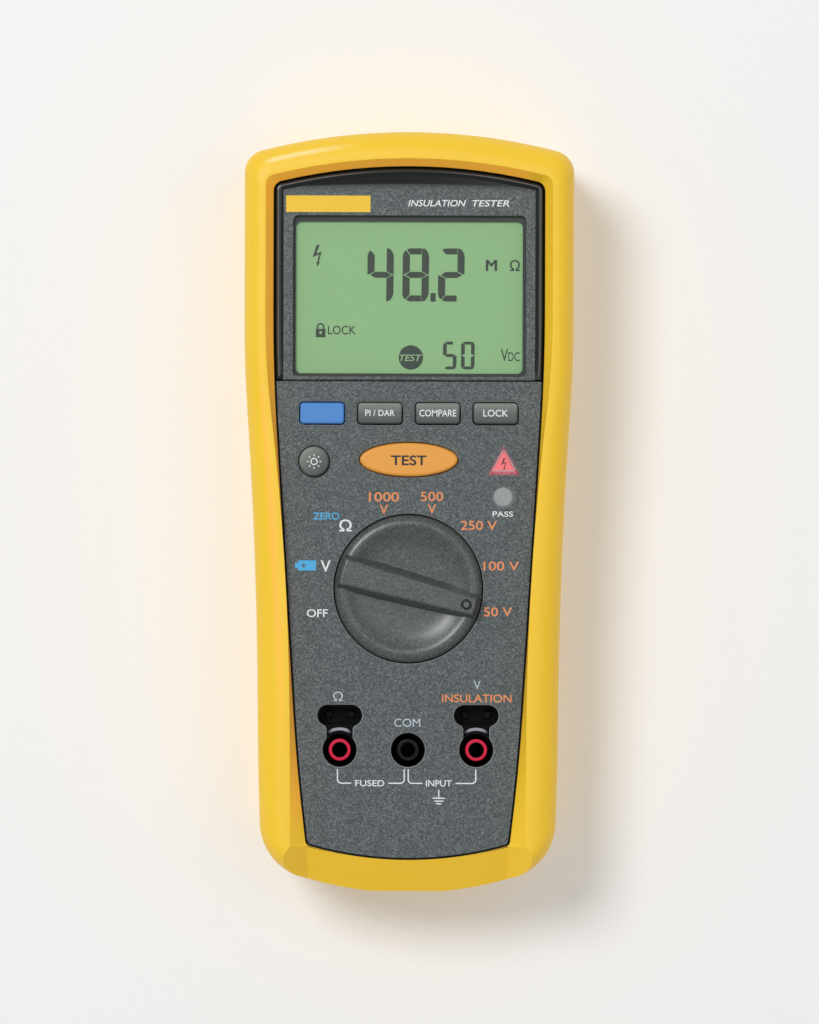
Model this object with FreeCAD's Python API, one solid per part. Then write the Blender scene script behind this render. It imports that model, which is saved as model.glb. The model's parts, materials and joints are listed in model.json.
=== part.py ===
"""Insulation resistance tester: a handheld meter in a rubber holster, with its insides.

The meter stands upright: X runs to the right of its face, the face looks along -Y, the back
along +Y, and Z runs up its length.  The origin is under the middle of the holster's bottom.
All sizes are in millimetres.
"""
import FreeCAD, Part
import cmath
import math
import os

V = FreeCAD.Vector

# ---- driving dimensions -------------------------------------------------------------------
LENGTH = 212.5           # holster, bottom to crown
HALF_TOP = 46.1          # holster half width beside the display
HALF_LOW = 41.6          # holster half width beside the sockets
Y_RIDGE = -22.5          # foremost line of the holster's lip
Y_BACK = 25.0            # holster's back face
Y_PANEL = -19.5          # face of the meter
Y_KNOB = -25.0           # top of the selector's grip bar
Y_PART = 2.0             # plane where the two case halves meet
Y_CASE_BACK = 21.5       # back face of the rear case
Y_SHOULDER = -17.5       # front case beside the raised panel, under the lip
HOLSTER_WALL = 3.2
CASE_WALL = 2.2
FLAT_DEPTH = 0.5         # how far the holster's curved bottom is cut flat so that it stands

# outlines of the holster and of the meter's panel: half widths at four heights, then the arcs
# at the top (crown) and at the bottom (base) with the radii of the corners beside them
OUTER = dict(side=[(HALF_TOP, 160), (45.24, 135), (42.07, 50), (HALF_LOW, 25)],
             crown=LENGTH, crown_r=165, top_r=6.5, base=-FLAT_DEPTH, base_r=100, low_r=16)
RIDGE = dict(side=[(40.5, 160), (39.0, 135), (33.5, 50), (33.3, 22)],
             crown=205.2, crown_r=158, top_r=3.5, base=4.0, base_r=100, low_r=4)
OPENING = dict(side=[(37.9, 162), (36.95, 130), (32.0, 50), (28.9, 17)],
               crown=202.7, crown_r=154, top_r=2.8, base=9.1, base_r=100, low_r=1.6)

# face
PANEL_GAP = 0.6          # open line between the panel and the holster's lip
PANEL_WALL = 2.1
WINDOW_FOOT = 142.7      # height where the window ends and the panel begins
Y_WINDOW = -19.4
Y_WINDOW_BACK = -17.7
LCD_Z = 166.1
LCD_VIEW = (63.4, 42.4)  # part of the display that shows
LCD_SIZE = (66.1, 45.1)
KEY_Z = 133.7
KEY_PITCH = 16.13
KEY_SIZE = (12.3, 5.85)
KEY_RISE = 1.2           # how far the keys stand out of the panel
KEY_GAP = 0.3
EDGE_BREAK = 0.25        # the small bevel round every opening in the panel
TEST_Z = 120.8
TEST_HALF = (13.65, 4.7)
LAMP_KEY = (-26.4, 120.2, 4.2)     # backlight key: x, z, radius
WARNING = (26.5, 117.4, 7.0, 6.2)  # warning lens: x, z of its foot, width, height
PASS = (26.4, 110.4, 2.9)          # pass lens: x, z, radius

# selector
KNOB_Z = 84.8
KNOB_R = 20.5
KNOB_WELL_R = 20.9
KNOB_ANGLE = -15.0       # the grip bar's pointer, in degrees from +X towards +Z
SHAFT_R = 2.5
COLLAR_R = 4.0

# sockets
JACK_Z = 39.8
JACK_PITCH = 19.05       # three quarters of an inch, as standard banana sockets have
JACK_WELL_R = 4.75
PROBE_Z = 49.4           # the oval sockets over the outer jacks
PROBE_SIZE = (12.5, 5.9)
PROBE_PITCH = 6.4
NECK_HALF = 3.6          # half width of the neck between an oval socket and its jack
NECK_ROUND = 1.3
BORE_R = 2.05

# back
DOOR_HALF = 35.0
DOOR_Z = (124.5, 199.5)
BAY_HALF = 30.6
BAY_Z = (136.5, 194.5)
BAY_FLOOR = 6.5
BAY_WALL = 1.8
LOCK_X = 24.0
LOCK_Z = 128.8
HINGE_Z = 115.0
HINGE_Y = 22.4
HINGE_PIN_R = 1.5
STAND_HALF = 23.0
STAND_FOOT = 20.0

# inside
Y_MAIN_BOARD = -11.8     # front face of the main board
Y_POWER_BOARD = 6.2      # front face of the power board
BOARD = 1.6
CELL_R = 7.2
CELL_PITCH = 14.8
SCREWS_TOP = (36.6, 190.0)
SCREWS_LOW = (32.5, 24.0)


# ---- plain shapes -------------------------------------------------------------------------
def box(x0, x1, y0, y1, z0, z1):
    return Part.makeBox(x1 - x0, y1 - y0, z1 - z0, V(x0, y0, z0))


def rod_y(x, z, r, y0, y1):
    return Part.makeCylinder(r, y1 - y0, V(x, y0, z), V(0, 1, 0))


def rod_x(y, z, r, x0, x1):
    return Part.makeCylinder(r, x1 - x0, V(x0, y, z), V(1, 0, 0))


def rod_z(x, y, r, z0, z1):
    return Part.makeCylinder(r, z1 - z0, V(x, y, z0), V(0, 0, 1))


def tube_y(x, z, r_out, r_in, y0, y1):
    return rod_y(x, z, r_out, y0, y1).cut(rod_y(x, z, r_in, y0, y1))


def along(shape, axis):
    """The straight edges of a shape that run along one axis."""
    found = []
    for edge in shape.Edges:
        if isinstance(edge.Curve, Part.Line) and abs(edge.tangentAt(edge.FirstParameter).dot(axis)) > 0.999:
            found.append(edge)
    return found


def edges_at(shape, y, tolerance=0.01):
    """The edges of a shape that lie in the plane at one depth."""
    boxes = [(e, e.BoundBox) for e in shape.Edges]
    return [e for e, b in boxes if abs(b.YMin - y) < tolerance and abs(b.YMax - y) < tolerance]


def pad(x, z, width, height, corner, y0, y1):
    """A plate with rounded corners, centred at x and z."""
    plate = box(x - width / 2, x + width / 2, y0, y1, z - height / 2, z + height / 2)
    return plate.makeFillet(corner, along(plate, V(0, 1, 0)))


def stadium(x, z, width, height, y0, y1):
    """An oval plate with round ends."""
    reach = (width - height) / 2
    middle = box(x - reach, x + reach, y0, y1, z - height / 2, z + height / 2)
    ends = [rod_y(x + side * reach, z, height / 2, y0, y1) for side in (-1, 1)]
    return middle.multiFuse(ends).removeSplitter()


def front_wire(shape):
    """The outline of a plate's front face."""
    y = shape.BoundBox.YMin
    return [f for f in shape.Faces if f.BoundBox.YMax < y + 0.01][0].OuterWire


def edge_break(shape_at):
    """A 45 degree cut round an opening's edge in the panel. shape_at(grow, y0, y1) makes the opening."""
    wide = front_wire(shape_at(EDGE_BREAK + 0.02, Y_PANEL - 0.02, Y_PANEL + 1))
    narrow = front_wire(shape_at(0.0, Y_PANEL + EDGE_BREAK, Y_PANEL + 1))
    return Part.makeLoft([wide, narrow], True, True)


def ellipse(x, z, half_x, half_z, y0, y1):
    curve = Part.Ellipse(V(x, y0, z), half_x, half_z)
    edge = curve.toShape()
    edge.rotate(V(x, y0, z), V(1, 0, 0), 90)
    return Part.Face(Part.Wire([edge])).extrude(V(0, y1 - y0, 0))


def revolved(x, z, profile):
    """A solid turned about the line along Y through x and z, from (radius, y) points."""
    points = [V(x + r, y, z) for r, y in profile]
    return Part.Face(Part.makePolygon(points + points[:1])).revolve(V(x, 0, z), V(0, 1, 0), 360)


# ---- outlines -----------------------------------------------------------------------------
def inset(outline, d):
    """The same outline, d further in all round."""
    return dict(side=[(x - d, z) for x, z in outline["side"]],
                crown=outline["crown"] - d, crown_r=outline["crown_r"] - d,
                top_r=max(outline["top_r"] - d, 1.2), base=outline["base"] + d,
                base_r=outline["base_r"] - d, low_r=max(outline["low_r"] - d, 1.2))


def between(a, b, t):
    """The outline a share t of the way from a to b."""
    mixed = {key: a[key] + (b[key] - a[key]) * t for key in a if key != "side"}
    mixed["side"] = [(xa + (xb - xa) * t, za + (zb - za) * t)
                     for (xa, za), (xb, zb) in zip(a["side"], b["side"])]
    return mixed


def corner(start, heading, inward, r, centre, big_r):
    """Round the corner between a line and a large arc: its first, middle and last points."""
    offset = start + heading * inward * r - centre
    b = (offset * heading.conjugate()).real
    c = abs(offset) ** 2 - (big_r - r) ** 2
    run = -b + math.sqrt(b * b - c)
    middle = start + heading * run + heading * inward * r
    first = start + heading * run
    last = centre + (middle - centre) * big_r / abs(middle - centre)
    halfway = (first - middle) + (last - middle)
    return first, middle + halfway / abs(halfway) * r, last


def half_points(outline):
    """The points down the right side, in pairs of (end of the edge, its middle or None)."""
    side = [complex(x, z) for x, z in outline["side"]]
    crown_centre = 1j * (outline["crown"] - outline["crown_r"])
    base_centre = 1j * (outline["base"] + outline["base_r"])
    low, mid, high = corner(side[0], 1j, 1j, outline["top_r"], crown_centre, outline["crown_r"])
    steps = [(high, None), (low, mid), (side[0], None)]
    heading = -1j
    for start, end in zip(side, side[1:]):
        chord = end - start
        turn = cmath.phase(chord / heading)
        middle = start + chord / 2 * (1 - 1j * math.tan(turn / 2))
        steps.append((end, middle if abs(turn) > 1e-4 else None))
        heading *= cmath.exp(2j * turn)
    first, mid, last = corner(side[-1], heading, -1j, outline["low_r"], base_centre, outline["base_r"])
    return steps + [(first, None), (last, mid)]


def ring(outline, y):
    """The closed wire of an outline at one depth."""
    def place(c, side=1):
        return V(side * c.real, y, c.imag)

    def edge(start, middle, end):
        if middle is None:
            return Part.LineSegment(start, end).toShape()
        return Part.Arc(start, middle, end).toShape()

    steps = half_points(outline)
    right = []
    left = []
    for (start, _), (end, middle) in zip(steps, steps[1:]):
        right.append(edge(place(start), middle and place(middle), place(end)))
        left.append(edge(place(end, -1), middle and place(middle, -1), place(start, -1)))
    foot = steps[-1][0]
    head = steps[0][0]
    base = edge(place(foot), V(0, y, outline["base"]), place(foot, -1))
    crown = edge(place(head, -1), V(0, y, outline["crown"]), place(head))
    return Part.Wire(right + [base] + left[::-1] + [crown])


def slab(outline, y0, y1):
    """An outline drawn out from y0 to y1."""
    return Part.Face(ring(outline, y0)).extrude(V(0, y1 - y0, 0))


def rounding(wide, narrow, y_wide, y_narrow, steps=5):
    """A solid that closes in from one outline to another along a quarter of an ellipse."""
    rings = []
    for i in range(steps):
        angle = math.pi / 2 * i / (steps - 1)
        rings.append(ring(between(wide, narrow, 1 - math.cos(angle)),
                          y_wide + (y_narrow - y_wide) * math.sin(angle)))
    return Part.makeLoft(rings, True, False)


CASE = inset(OUTER, HOLSTER_WALL + 0.1)
PANEL = inset(OPENING, PANEL_GAP)
JACKS = [-JACK_PITCH, 0.0, JACK_PITCH]
KEYS = [KEY_PITCH * (i - 1.5) for i in range(4)]


def turned(shape, angle):
    """Turn a shape about the selector's axis, anticlockwise as the face is seen."""
    return shape.rotate(V(0, 0, KNOB_Z), V(0, -1, 0), angle)


# ---- holster ------------------------------------------------------------------------------
LIP_START = -15.5        # where the holster's sides begin to round over to the front
BACK_START = 19.0        # and to the back
Y_FACET = (-19.6, -13.5) # the sloping face under the panel: from the panel's foot to the base
FACET_HALF = (28.3, 27.6)
FLARE = 1.5              # how far the lip's inner walls open out for each millimetre of rise
EAR_X = (24.0, 30.0)     # bosses that hold the stand's pins
EAR_Z = (111.4, 118.4)
Y_EAR = 20.0
SLOT_HALF = 24.0
SLOT_Z = (14.0, 118.4)


def above_facet(back, up, y0, y1):
    """The space in front of the sloping face under the panel, moved back and up by the amounts given.

    The face is a slanted cylinder: the arc of the panel's foot, carried down to the base's arc.
    """
    radius = OUTER["base_r"]
    fall = (OPENING["base"] - OUTER["base"]) / (Y_FACET[1] - Y_FACET[0])
    rings = []
    for y in (y0, y1):
        centre = OPENING["base"] + radius + up - fall * (y - back - Y_FACET[0])
        rings.append(Part.Wire([Part.makeCircle(radius, V(0, y, centre), V(0, 1, 0))]))
    core = Part.makeLoft(rings, True, True)
    return box(-45, 45, y0, y1, -10, 22).cut(core)


def trough():
    """The flared channel under the panel that the sloping face forms the floor of."""
    top = 13.0
    low = -1.5
    fall = (OPENING["base"] - OUTER["base"]) / (Y_FACET[1] - Y_FACET[0])
    rings = []
    for z, half in ((top, FACET_HALF[0]), (low, FACET_HALF[1])):
        floor = Y_FACET[0] + (top - z) / fall
        wide = half + FLARE * (floor + 30)
        corners = [V(-half, floor, z), V(half, floor, z), V(wide, -30, z), V(-wide, -30, z)]
        rings.append(Part.makePolygon(corners + corners[:1]))
    return Part.makeLoft(rings, True, True).common(above_facet(0, 0, -30, -8))


def holster():
    body = slab(OUTER, LIP_START, BACK_START)
    front = rounding(OUTER, RIDGE, LIP_START, Y_RIDGE)
    back = rounding(OUTER, inset(OUTER, 5.0), BACK_START, Y_BACK)
    body = body.multiFuse([front, back])
    bevel = Part.makeLoft([ring(inset(RIDGE, 0.5), Y_RIDGE), ring(OPENING, Y_PANEL)], True, True)
    mouth = slab(OPENING, Y_PANEL - 0.01, Y_SHOULDER + 0.1)
    above = slab(inset(RIDGE, 0.5), Y_RIDGE - 1, Y_RIDGE)
    cavity = slab(inset(OUTER, HOLSTER_WALL), Y_SHOULDER - 0.1, Y_CASE_BACK + 0.1)
    cavity = cavity.cut(above_facet(1.8, 1.2, Y_SHOULDER, -8))
    body = body.cut([bevel, mouth, above, cavity, trough()])
    body = body.cut(box(-60, 60, -30, 30, -5, 0))
    ears = [box(min(s * EAR_X[0], s * EAR_X[1]), max(s * EAR_X[0], s * EAR_X[1]),
                Y_EAR, Y_CASE_BACK + 1, *EAR_Z) for s in (-1, 1)]
    body = body.multiFuse(ears)
    door_z = sum(DOOR_Z) / 2
    window = pad(0, door_z, 2 * DOOR_HALF + 1, DOOR_Z[1] - DOOR_Z[0] + 1, 5.5, Y_EAR, 30)
    slot = pad(0, sum(SLOT_Z) / 2, 2 * SLOT_HALF, SLOT_Z[1] - SLOT_Z[0], 2.0, Y_EAR - 1, 30)
    pins = rod_x(HINGE_Y, HINGE_Z, HINGE_PIN_R + 0.05, -29.0, 29.0)
    return body.cut([window, slot, pins])


# ---- case ---------------------------------------------------------------------------------
def triangle(x, foot, width, height, y0, y1):
    """A plate shaped like a warning triangle with rounded corners."""
    points = [V(x - width / 2, y0, foot), V(x + width / 2, y0, foot), V(x, y0, foot + height)]
    plate = Part.Face(Part.makePolygon(points + points[:1])).extrude(V(0, y1 - y0, 0))
    return plate.makeFillet(0.7, along(plate, V(0, 1, 0)))


def key_shape(x, grow, y0, y1):
    return pad(x, KEY_Z, KEY_SIZE[0] + 2 * grow, KEY_SIZE[1] + 2 * grow, 1.0 + grow, y0, y1)


def socket_shape(x, shrink, y0, y1):
    """The black keyhole round a jack: a round well, with an oval one over the outer jacks."""
    well = rod_y(x, JACK_Z, JACK_WELL_R - shrink, y0, y1)
    if x == 0:
        return well
    oval = stadium(x, PROBE_Z, PROBE_SIZE[0] - 2 * shrink, PROBE_SIZE[1] - 2 * shrink, y0, y1)
    half = NECK_HALF - shrink
    neck = box(x - half, x + half, y0, y1, JACK_Z, PROBE_Z)
    keyhole = well.multiFuse([oval, neck]).removeSplitter()
    inner = [e for e in along(keyhole, V(0, 1, 0))
             if abs(abs(e.Vertexes[0].X - x) - half) < 0.05 and JACK_Z + 1 < e.Vertexes[0].Z < PROBE_Z]
    return keyhole.makeFillet(NECK_ROUND, inner)


def screw_places():
    return [(side * x, z) for x, z in (SCREWS_TOP, SCREWS_LOW) for side in (-1, 1)]


def board_places():
    """Screws that hold the main board to the front case."""
    return [(-29.5, 62.0), (29.5, 62.0), (-31.0, 196.0), (31.0, 196.0)]


def front_case():
    body = slab(CASE, Y_SHOULDER, Y_PART)
    below = box(-60, 60, -30, 0, 0, WINDOW_FOOT - 0.1)
    body = body.fuse(slab(PANEL, Y_PANEL, Y_SHOULDER).common(below))
    body = body.cut(above_facet(1.9, 1.3, Y_SHOULDER, -8))
    hollow = slab(inset(CASE, CASE_WALL), Y_SHOULDER + 2.0, Y_PART + 1)
    body = body.cut(hollow.cut(above_facet(3.6, 2.4, Y_SHOULDER, -5)))
    under = slab(inset(PANEL, 2.0), Y_PANEL + PANEL_WALL, Y_SHOULDER + 2.1)
    body = body.cut(under.common(box(-60, 60, -30, 0, 0, WINDOW_FOOT - 2)))
    well_floor = Y_PANEL + 1.9
    body = body.fuse(rod_y(0, KNOB_Z, 23.0, Y_PANEL + PANEL_WALL, well_floor + 1.7))
    bosses = [rod_y(x, z, 3.0, Y_SHOULDER + 1, Y_PART) for x, z in screw_places()]
    bosses += [rod_y(x, z, 2.2, Y_SHOULDER + 1, Y_MAIN_BOARD) for x, z in board_places()]
    body = body.multiFuse(bosses)
    cuts = [rod_y(x, z, 1.35, -10, Y_PART + 1) for x, z in screw_places()]
    cuts += [rod_y(x, z, 1.0, -15, Y_MAIN_BOARD + 1) for x, z in board_places()]
    cuts += [key_shape(x, KEY_GAP, -20, -15) for x in KEYS]
    cuts += [socket_shape(x, 0, -20, -15) for x in JACKS]
    cuts += [edge_break(lambda grow, y0, y1, x=x: key_shape(x, KEY_GAP + grow, y0, y1)) for x in KEYS]
    cuts += [edge_break(lambda grow, y0, y1, x=x: socket_shape(x, -grow, y0, y1)) for x in JACKS]
    cuts.append(edge_break(lambda grow, y0, y1: ellipse(
        0, TEST_Z, TEST_HALF[0] + KEY_GAP + grow, TEST_HALF[1] + KEY_GAP + grow, y0, y1)))
    rounds = [(LAMP_KEY[0], LAMP_KEY[1], LAMP_KEY[2] + KEY_GAP), PASS, (0, KNOB_Z, KNOB_WELL_R)]
    cuts += [edge_break(lambda grow, y0, y1, x=x, z=z, r=r: rod_y(x, z, r + grow, y0, y1))
             for x, z, r in rounds]
    cuts.append(ellipse(0, TEST_Z, TEST_HALF[0] + KEY_GAP, TEST_HALF[1] + KEY_GAP, -20, -15))
    cuts.append(rod_y(LAMP_KEY[0], LAMP_KEY[1], LAMP_KEY[2] + KEY_GAP, -20, -15))
    cuts.append(triangle(*WARNING, -20, -15))
    cuts.append(rod_y(PASS[0], PASS[1], PASS[2], -20, -15))
    cuts.append(rod_y(0, KNOB_Z, KNOB_WELL_R, -20, well_floor))
    cuts.append(tube_y(0, KNOB_Z, 7.6, 6.4, well_floor - 1, well_floor + 1.0))
    cuts.append(rod_y(0, KNOB_Z, COLLAR_R + 0.05, -20, -10))
    cuts.append(pad(0, LCD_Z, LCD_SIZE[0] + 0.2, LCD_SIZE[1] + 0.2, 1.0, -20, -12))
    gasket = slab(inset(CASE, 0.7), Y_PART - 1.2, Y_PART + 1)
    cuts.append(gasket.cut(slab(inset(CASE, 1.7), Y_PART - 2, Y_PART + 2)))
    return body.cut(cuts)


def case_gasket():
    outer = slab(inset(CASE, 0.75), Y_PART - 1.15, Y_PART - 0.05)
    return outer.cut(slab(inset(CASE, 1.65), Y_PART - 2, Y_PART + 2))


def rear_case():
    body = slab(CASE, Y_PART + 0.05, Y_CASE_BACK - 1.5)
    sloped = Part.makeLoft([ring(CASE, Y_CASE_BACK - 1.5), ring(inset(CASE, 1.5), Y_CASE_BACK)], True, True)
    body = body.fuse(sloped)
    body = body.cut(slab(inset(CASE, CASE_WALL), Y_PART - 1, Y_CASE_BACK - 2.6))
    bay = box(-BAY_HALF - BAY_WALL, BAY_HALF + BAY_WALL, BAY_FLOOR - BAY_WALL, Y_CASE_BACK - 1,
              BAY_Z[0] - BAY_WALL, BAY_Z[1] + BAY_WALL)
    saddle = box(-31.5, 31.5, 17.4, Y_CASE_BACK - 2, 109.0, 120.5)
    posts = [rod_y(x, z, 3.2, Y_PART + 0.05, Y_CASE_BACK - 1) for x, z in screw_places()]
    legs = [rod_y(x, z, 2.4, Y_POWER_BOARD + BOARD, Y_CASE_BACK - 1) for x, z in power_places()]
    body = body.multiFuse([bay, saddle] + posts + legs)
    cuts = [box(-BAY_HALF, BAY_HALF, BAY_FLOOR, 30, *BAY_Z)]
    cuts.append(box(-30.4, 30.4, 19.8, 30, 111.0, 118.9))
    cuts += [rod_y(x, z, 1.6, 0, 30) for x, z in screw_places()]
    cuts += [rod_y(x, z, 2.75, Y_CASE_BACK - 2.5, 30) for x, z in screw_places()]
    cuts += [rod_y(x, z, 0.95, Y_POWER_BOARD, Y_POWER_BOARD + 8) for x, z in power_places()]
    cuts += [rod_y(side * LOCK_X, LOCK_Z, 4.2, 15, 30) for side in (-1, 1)]
    cuts.append(seal_ring(2.2, Y_CASE_BACK - 1.0, 30))
    return body.cut(cuts)


def case_screws():
    screws = []
    for x, z in screw_places():
        head = rod_y(x, z, 2.5, Y_CASE_BACK - 2.5, Y_CASE_BACK - 0.5)
        shank = rod_y(x, z, 1.3, -7.5, Y_CASE_BACK - 2.4)
        cross = [box(x - 1.4, x + 1.4, Y_CASE_BACK - 1.6, 30, z - 0.35, z + 0.35),
                 box(x - 0.35, x + 0.35, Y_CASE_BACK - 1.6, 30, z - 1.4, z + 1.4)]
        screws.append(head.fuse(shank).cut(cross))
    return Part.makeCompound(screws)


# ---- display ------------------------------------------------------------------------------
def window_region(grow=0.0):
    return box(-60, 60, -30, 0, WINDOW_FOOT + 0.15 + grow, 230)


def display_window():
    plate = slab(inset(OPENING, 0.25), Y_WINDOW, Y_WINDOW_BACK).common(window_region())
    return plate.makeChamfer(0.35, edges_at(plate, Y_WINDOW))


def window_adhesive():
    frame = slab(inset(OPENING, 0.3), Y_WINDOW_BACK, Y_SHOULDER).common(window_region(0.1))
    inner = slab(inset(OPENING, 2.7), -20, -10).common(window_region(0.9))
    return frame.cut(inner)


def lcd_bezel():
    frame = pad(0, LCD_Z, *LCD_SIZE, 0.9, -17.5, -16.7)
    return frame.cut(pad(0, LCD_Z, *LCD_VIEW, 1.6, -18, -16))


def lcd_glass():
    return pad(0, LCD_Z, *LCD_SIZE, 0.9, -16.7, -14.4)


def lcd_backlight():
    guide = pad(0, LCD_Z, 62.0, 38.0, 1.0, -14.4, Y_MAIN_BOARD)
    notches = [box(x - 1.6, x + 1.6, -13.6, -11, LCD_Z + 17.4, LCD_Z + 20) for x in (-20, 0, 20)]
    return guide.cut(notches)


def zebra_strips():
    return Part.makeCompound([box(-30, 30, -14.4, Y_MAIN_BOARD, LCD_Z + side * 20.9 - 0.9,
                                  LCD_Z + side * 20.9 + 0.9) for side in (-1, 1)])


def warning_lens():
    front = triangle(*WARNING, Y_PANEL - 0.35, -17.3)
    front = front.makeFillet(0.3, edges_at(front, Y_PANEL - 0.35))
    x, foot, width, height = WARNING
    return front.fuse(triangle(x, foot - 0.6, width + 1.4, height + 1.5, -17.4, -16.6))


def pass_lens():
    x, z, r = PASS
    front = revolved(x, z, [(0, Y_PANEL - 0.1), (r - 0.5, Y_PANEL + 0.05), (r - 0.05, Y_PANEL + 0.4),
                            (r - 0.05, -17.3), (0, -17.3)])
    return front.fuse(rod_y(x, z, r + 0.6, -17.4, -16.6))


def indicator_leds():
    leds = []
    for x, z in ((WARNING[0], WARNING[1] + 2.2), (PASS[0], PASS[1])):
        base = box(x - 1.0, x + 1.0, -12.9, Y_MAIN_BOARD, z - 0.7, z + 0.7)
        leds.append(base.fuse(Part.makeSphere(0.6, V(x, -12.9, z))))
    return Part.makeCompound(leds)


# ---- keys ---------------------------------------------------------------------------------
Y_KEY = Y_PANEL - KEY_RISE
Y_FLANGE = (-17.3, -16.7)


def rect_key(x):
    cap = key_shape(x, 0, Y_KEY, Y_FLANGE[1])
    cap = cap.makeFillet(0.6, edges_at(cap, Y_KEY))
    return cap.fuse(key_shape(x, 0.6, *Y_FLANGE))


def test_key():
    cap = ellipse(0, TEST_Z, *TEST_HALF, Y_KEY - 0.2, Y_FLANGE[1])
    cap = cap.makeFillet(0.9, edges_at(cap, Y_KEY - 0.2))
    return cap.fuse(ellipse(0, TEST_Z, TEST_HALF[0] + 0.7, TEST_HALF[1] + 0.7, *Y_FLANGE))


def backlight_key():
    x, z, r = LAMP_KEY
    cap = rod_y(x, z, r, Y_KEY, Y_FLANGE[1])
    cap = cap.makeFillet(0.7, edges_at(cap, Y_KEY))
    return cap.fuse(rod_y(x, z, r + 0.6, *Y_FLANGE))


def keypad_membrane():
    sheet = pad(0, 126.2, 66.0, 27.0, 2.0, Y_MAIN_BOARD - 0.9, Y_MAIN_BOARD)
    pads = [pad(x, KEY_Z, 8.0, 3.6, 0.8, -15.5, -12.5) for x in KEYS]
    pads.append(ellipse(0, TEST_Z, 9.0, 2.8, -15.5, -12.5))
    pads.append(rod_y(LAMP_KEY[0], LAMP_KEY[1], 2.4, -15.5, -12.5))
    lamp = box(WARNING[0] - 1.5, WARNING[0] + 1.5, -16, -11, WARNING[1] + 1, WARNING[1] + 3.4)
    return sheet.multiFuse(pads).cut(lamp)


# ---- selector -----------------------------------------------------------------------------
GRIP_TAIL = (7.4, 11.6)    # grip bar's width at its tail: top and foot
GRIP_NOSE = (4.6, 8.2)
GRIP_END = 22.0            # half length before the ends are trimmed round
POINTER_R = 16.7           # distance of the pointer dot from the selector's axis
KNOB_FOOT = -17.75
# radius and y of the dished face: nearly flat in the middle, then up to a round crest and over it
DISH = [(0, -19.3), (5, -19.31), (10, -19.45), (13.5, -19.9), (16.2, -20.85), (18.1, -21.45), (19.4, -21.1),
        (20.2, -20.35)]


def grip_bar():
    """The tapered bar across the selector, pointing along +X before it is turned."""
    def quad(y, level):
        tail = GRIP_TAIL[level] / 2
        nose = GRIP_NOSE[level] / 2
        return Part.makePolygon([V(-GRIP_END, y, KNOB_Z - tail), V(GRIP_END, y, KNOB_Z - nose),
                                 V(GRIP_END, y, KNOB_Z + nose), V(-GRIP_END, y, KNOB_Z + tail),
                                 V(-GRIP_END, y, KNOB_Z - tail)])
    bar = Part.makeLoft([quad(Y_KNOB, 0), quad(-18.5, 1)], True, True)
    round_ends = Part.makeCone(19.2, 20.35, 6.5, V(0, Y_KNOB, KNOB_Z), V(0, 1, 0))
    bar = bar.common(round_ends)
    return bar.makeFillet(0.8, edges_at(bar, Y_KNOB))


def selector_knob():
    across = [V(r, y, KNOB_Z) for r, y in DISH]
    curve = Part.BSplineCurve()
    curve.interpolate(across)
    rest = [across[-1], V(KNOB_R, -19.8, KNOB_Z), V(KNOB_R, KNOB_FOOT, KNOB_Z),
            V(0, KNOB_FOOT, KNOB_Z), across[0]]
    profile = Part.Wire([curve.toShape()] + Part.makePolygon(rest).Edges)
    disc = Part.Face(profile).revolve(V(0, 0, KNOB_Z), V(0, 1, 0), 360)
    knob = disc.fuse(grip_bar())
    knob = knob.cut([rod_y(0, KNOB_Z, SHAFT_R, -21.0, 0), rod_y(POINTER_R, KNOB_Z, 1.6, -26, Y_KNOB + 1.0)])
    return turned(knob, KNOB_ANGLE)


def knob_pointer():
    dot = revolved(POINTER_R, KNOB_Z, [(0, Y_KNOB - 0.05), (0.7, Y_KNOB), (1.2, Y_KNOB + 0.3),
                                       (1.2, Y_KNOB + 1.0), (0, Y_KNOB + 1.0)])
    return turned(dot, KNOB_ANGLE)


def selector_shaft():
    collar = rod_y(0, KNOB_Z, COLLAR_R, KNOB_FOOT, -15.7)
    return collar.fuse(rod_y(0, KNOB_Z, SHAFT_R, -21.0, -12.0))


def selector_seal():
    return Part.makeTorus(7.0, 0.52, V(0, -17.15, KNOB_Z), V(0, 1, 0))


def selector_rotor():
    rotor = rod_y(0, KNOB_Z, 14.5, -15.7, -13.2)
    windows = [turned(rod_y(9.5, KNOB_Z, 2.2, -16, -13), 60 + 120 * i) for i in range(3)]
    return rotor.cut([rod_y(0, KNOB_Z, SHAFT_R, -16, -13)] + windows)


def wiper_contacts():
    fingers = []
    for i, radius in enumerate((6.5, 9.0, 11.5)):
        strip = box(-1.0, 1.0, -13.2, -12.9, KNOB_Z + radius - 1.2, KNOB_Z + radius + 1.2)
        tip = rod_x(-12.5, KNOB_Z + radius, 0.55, -1.0, 1.0)
        fingers.append(turned(strip.fuse(tip), 120 * i))
    return Part.makeCompound(fingers)


def detent_ring():
    """Ring with a notch every 30 degrees, fixed in the front case round the rotor."""
    collar = tube_y(0, KNOB_Z, 18.4, 15.6, -15.9, -13.4)
    notches = [turned(rod_y(15.6, KNOB_Z, 1.1, -16, -13), KNOB_ANGLE + 30 * i) for i in range(12)]
    return collar.cut(notches)


def detent_spring():
    """Leaf with a rounded nose at each end, clipped on the rotor's rim."""
    noses = [turned(rod_y(14.75, KNOB_Z, 0.7, -15.5, -13.9), KNOB_ANGLE + 180 * i) for i in range(2)]
    band = tube_y(0, KNOB_Z, 14.9, 14.5, -15.5, -13.9)
    return band.multiFuse(noses).cut(rod_y(0, KNOB_Z, 14.5, -16, -13))


# ---- sockets ------------------------------------------------------------------------------
BLOCK = (-27.0, 27.0, -17.3, 4.5, 31.5, 55.0)
Y_BOSS = -18.7
SADDLE_R = 5.8    # radius, about the jack, of the ridge between its well and the oval socket


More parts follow.
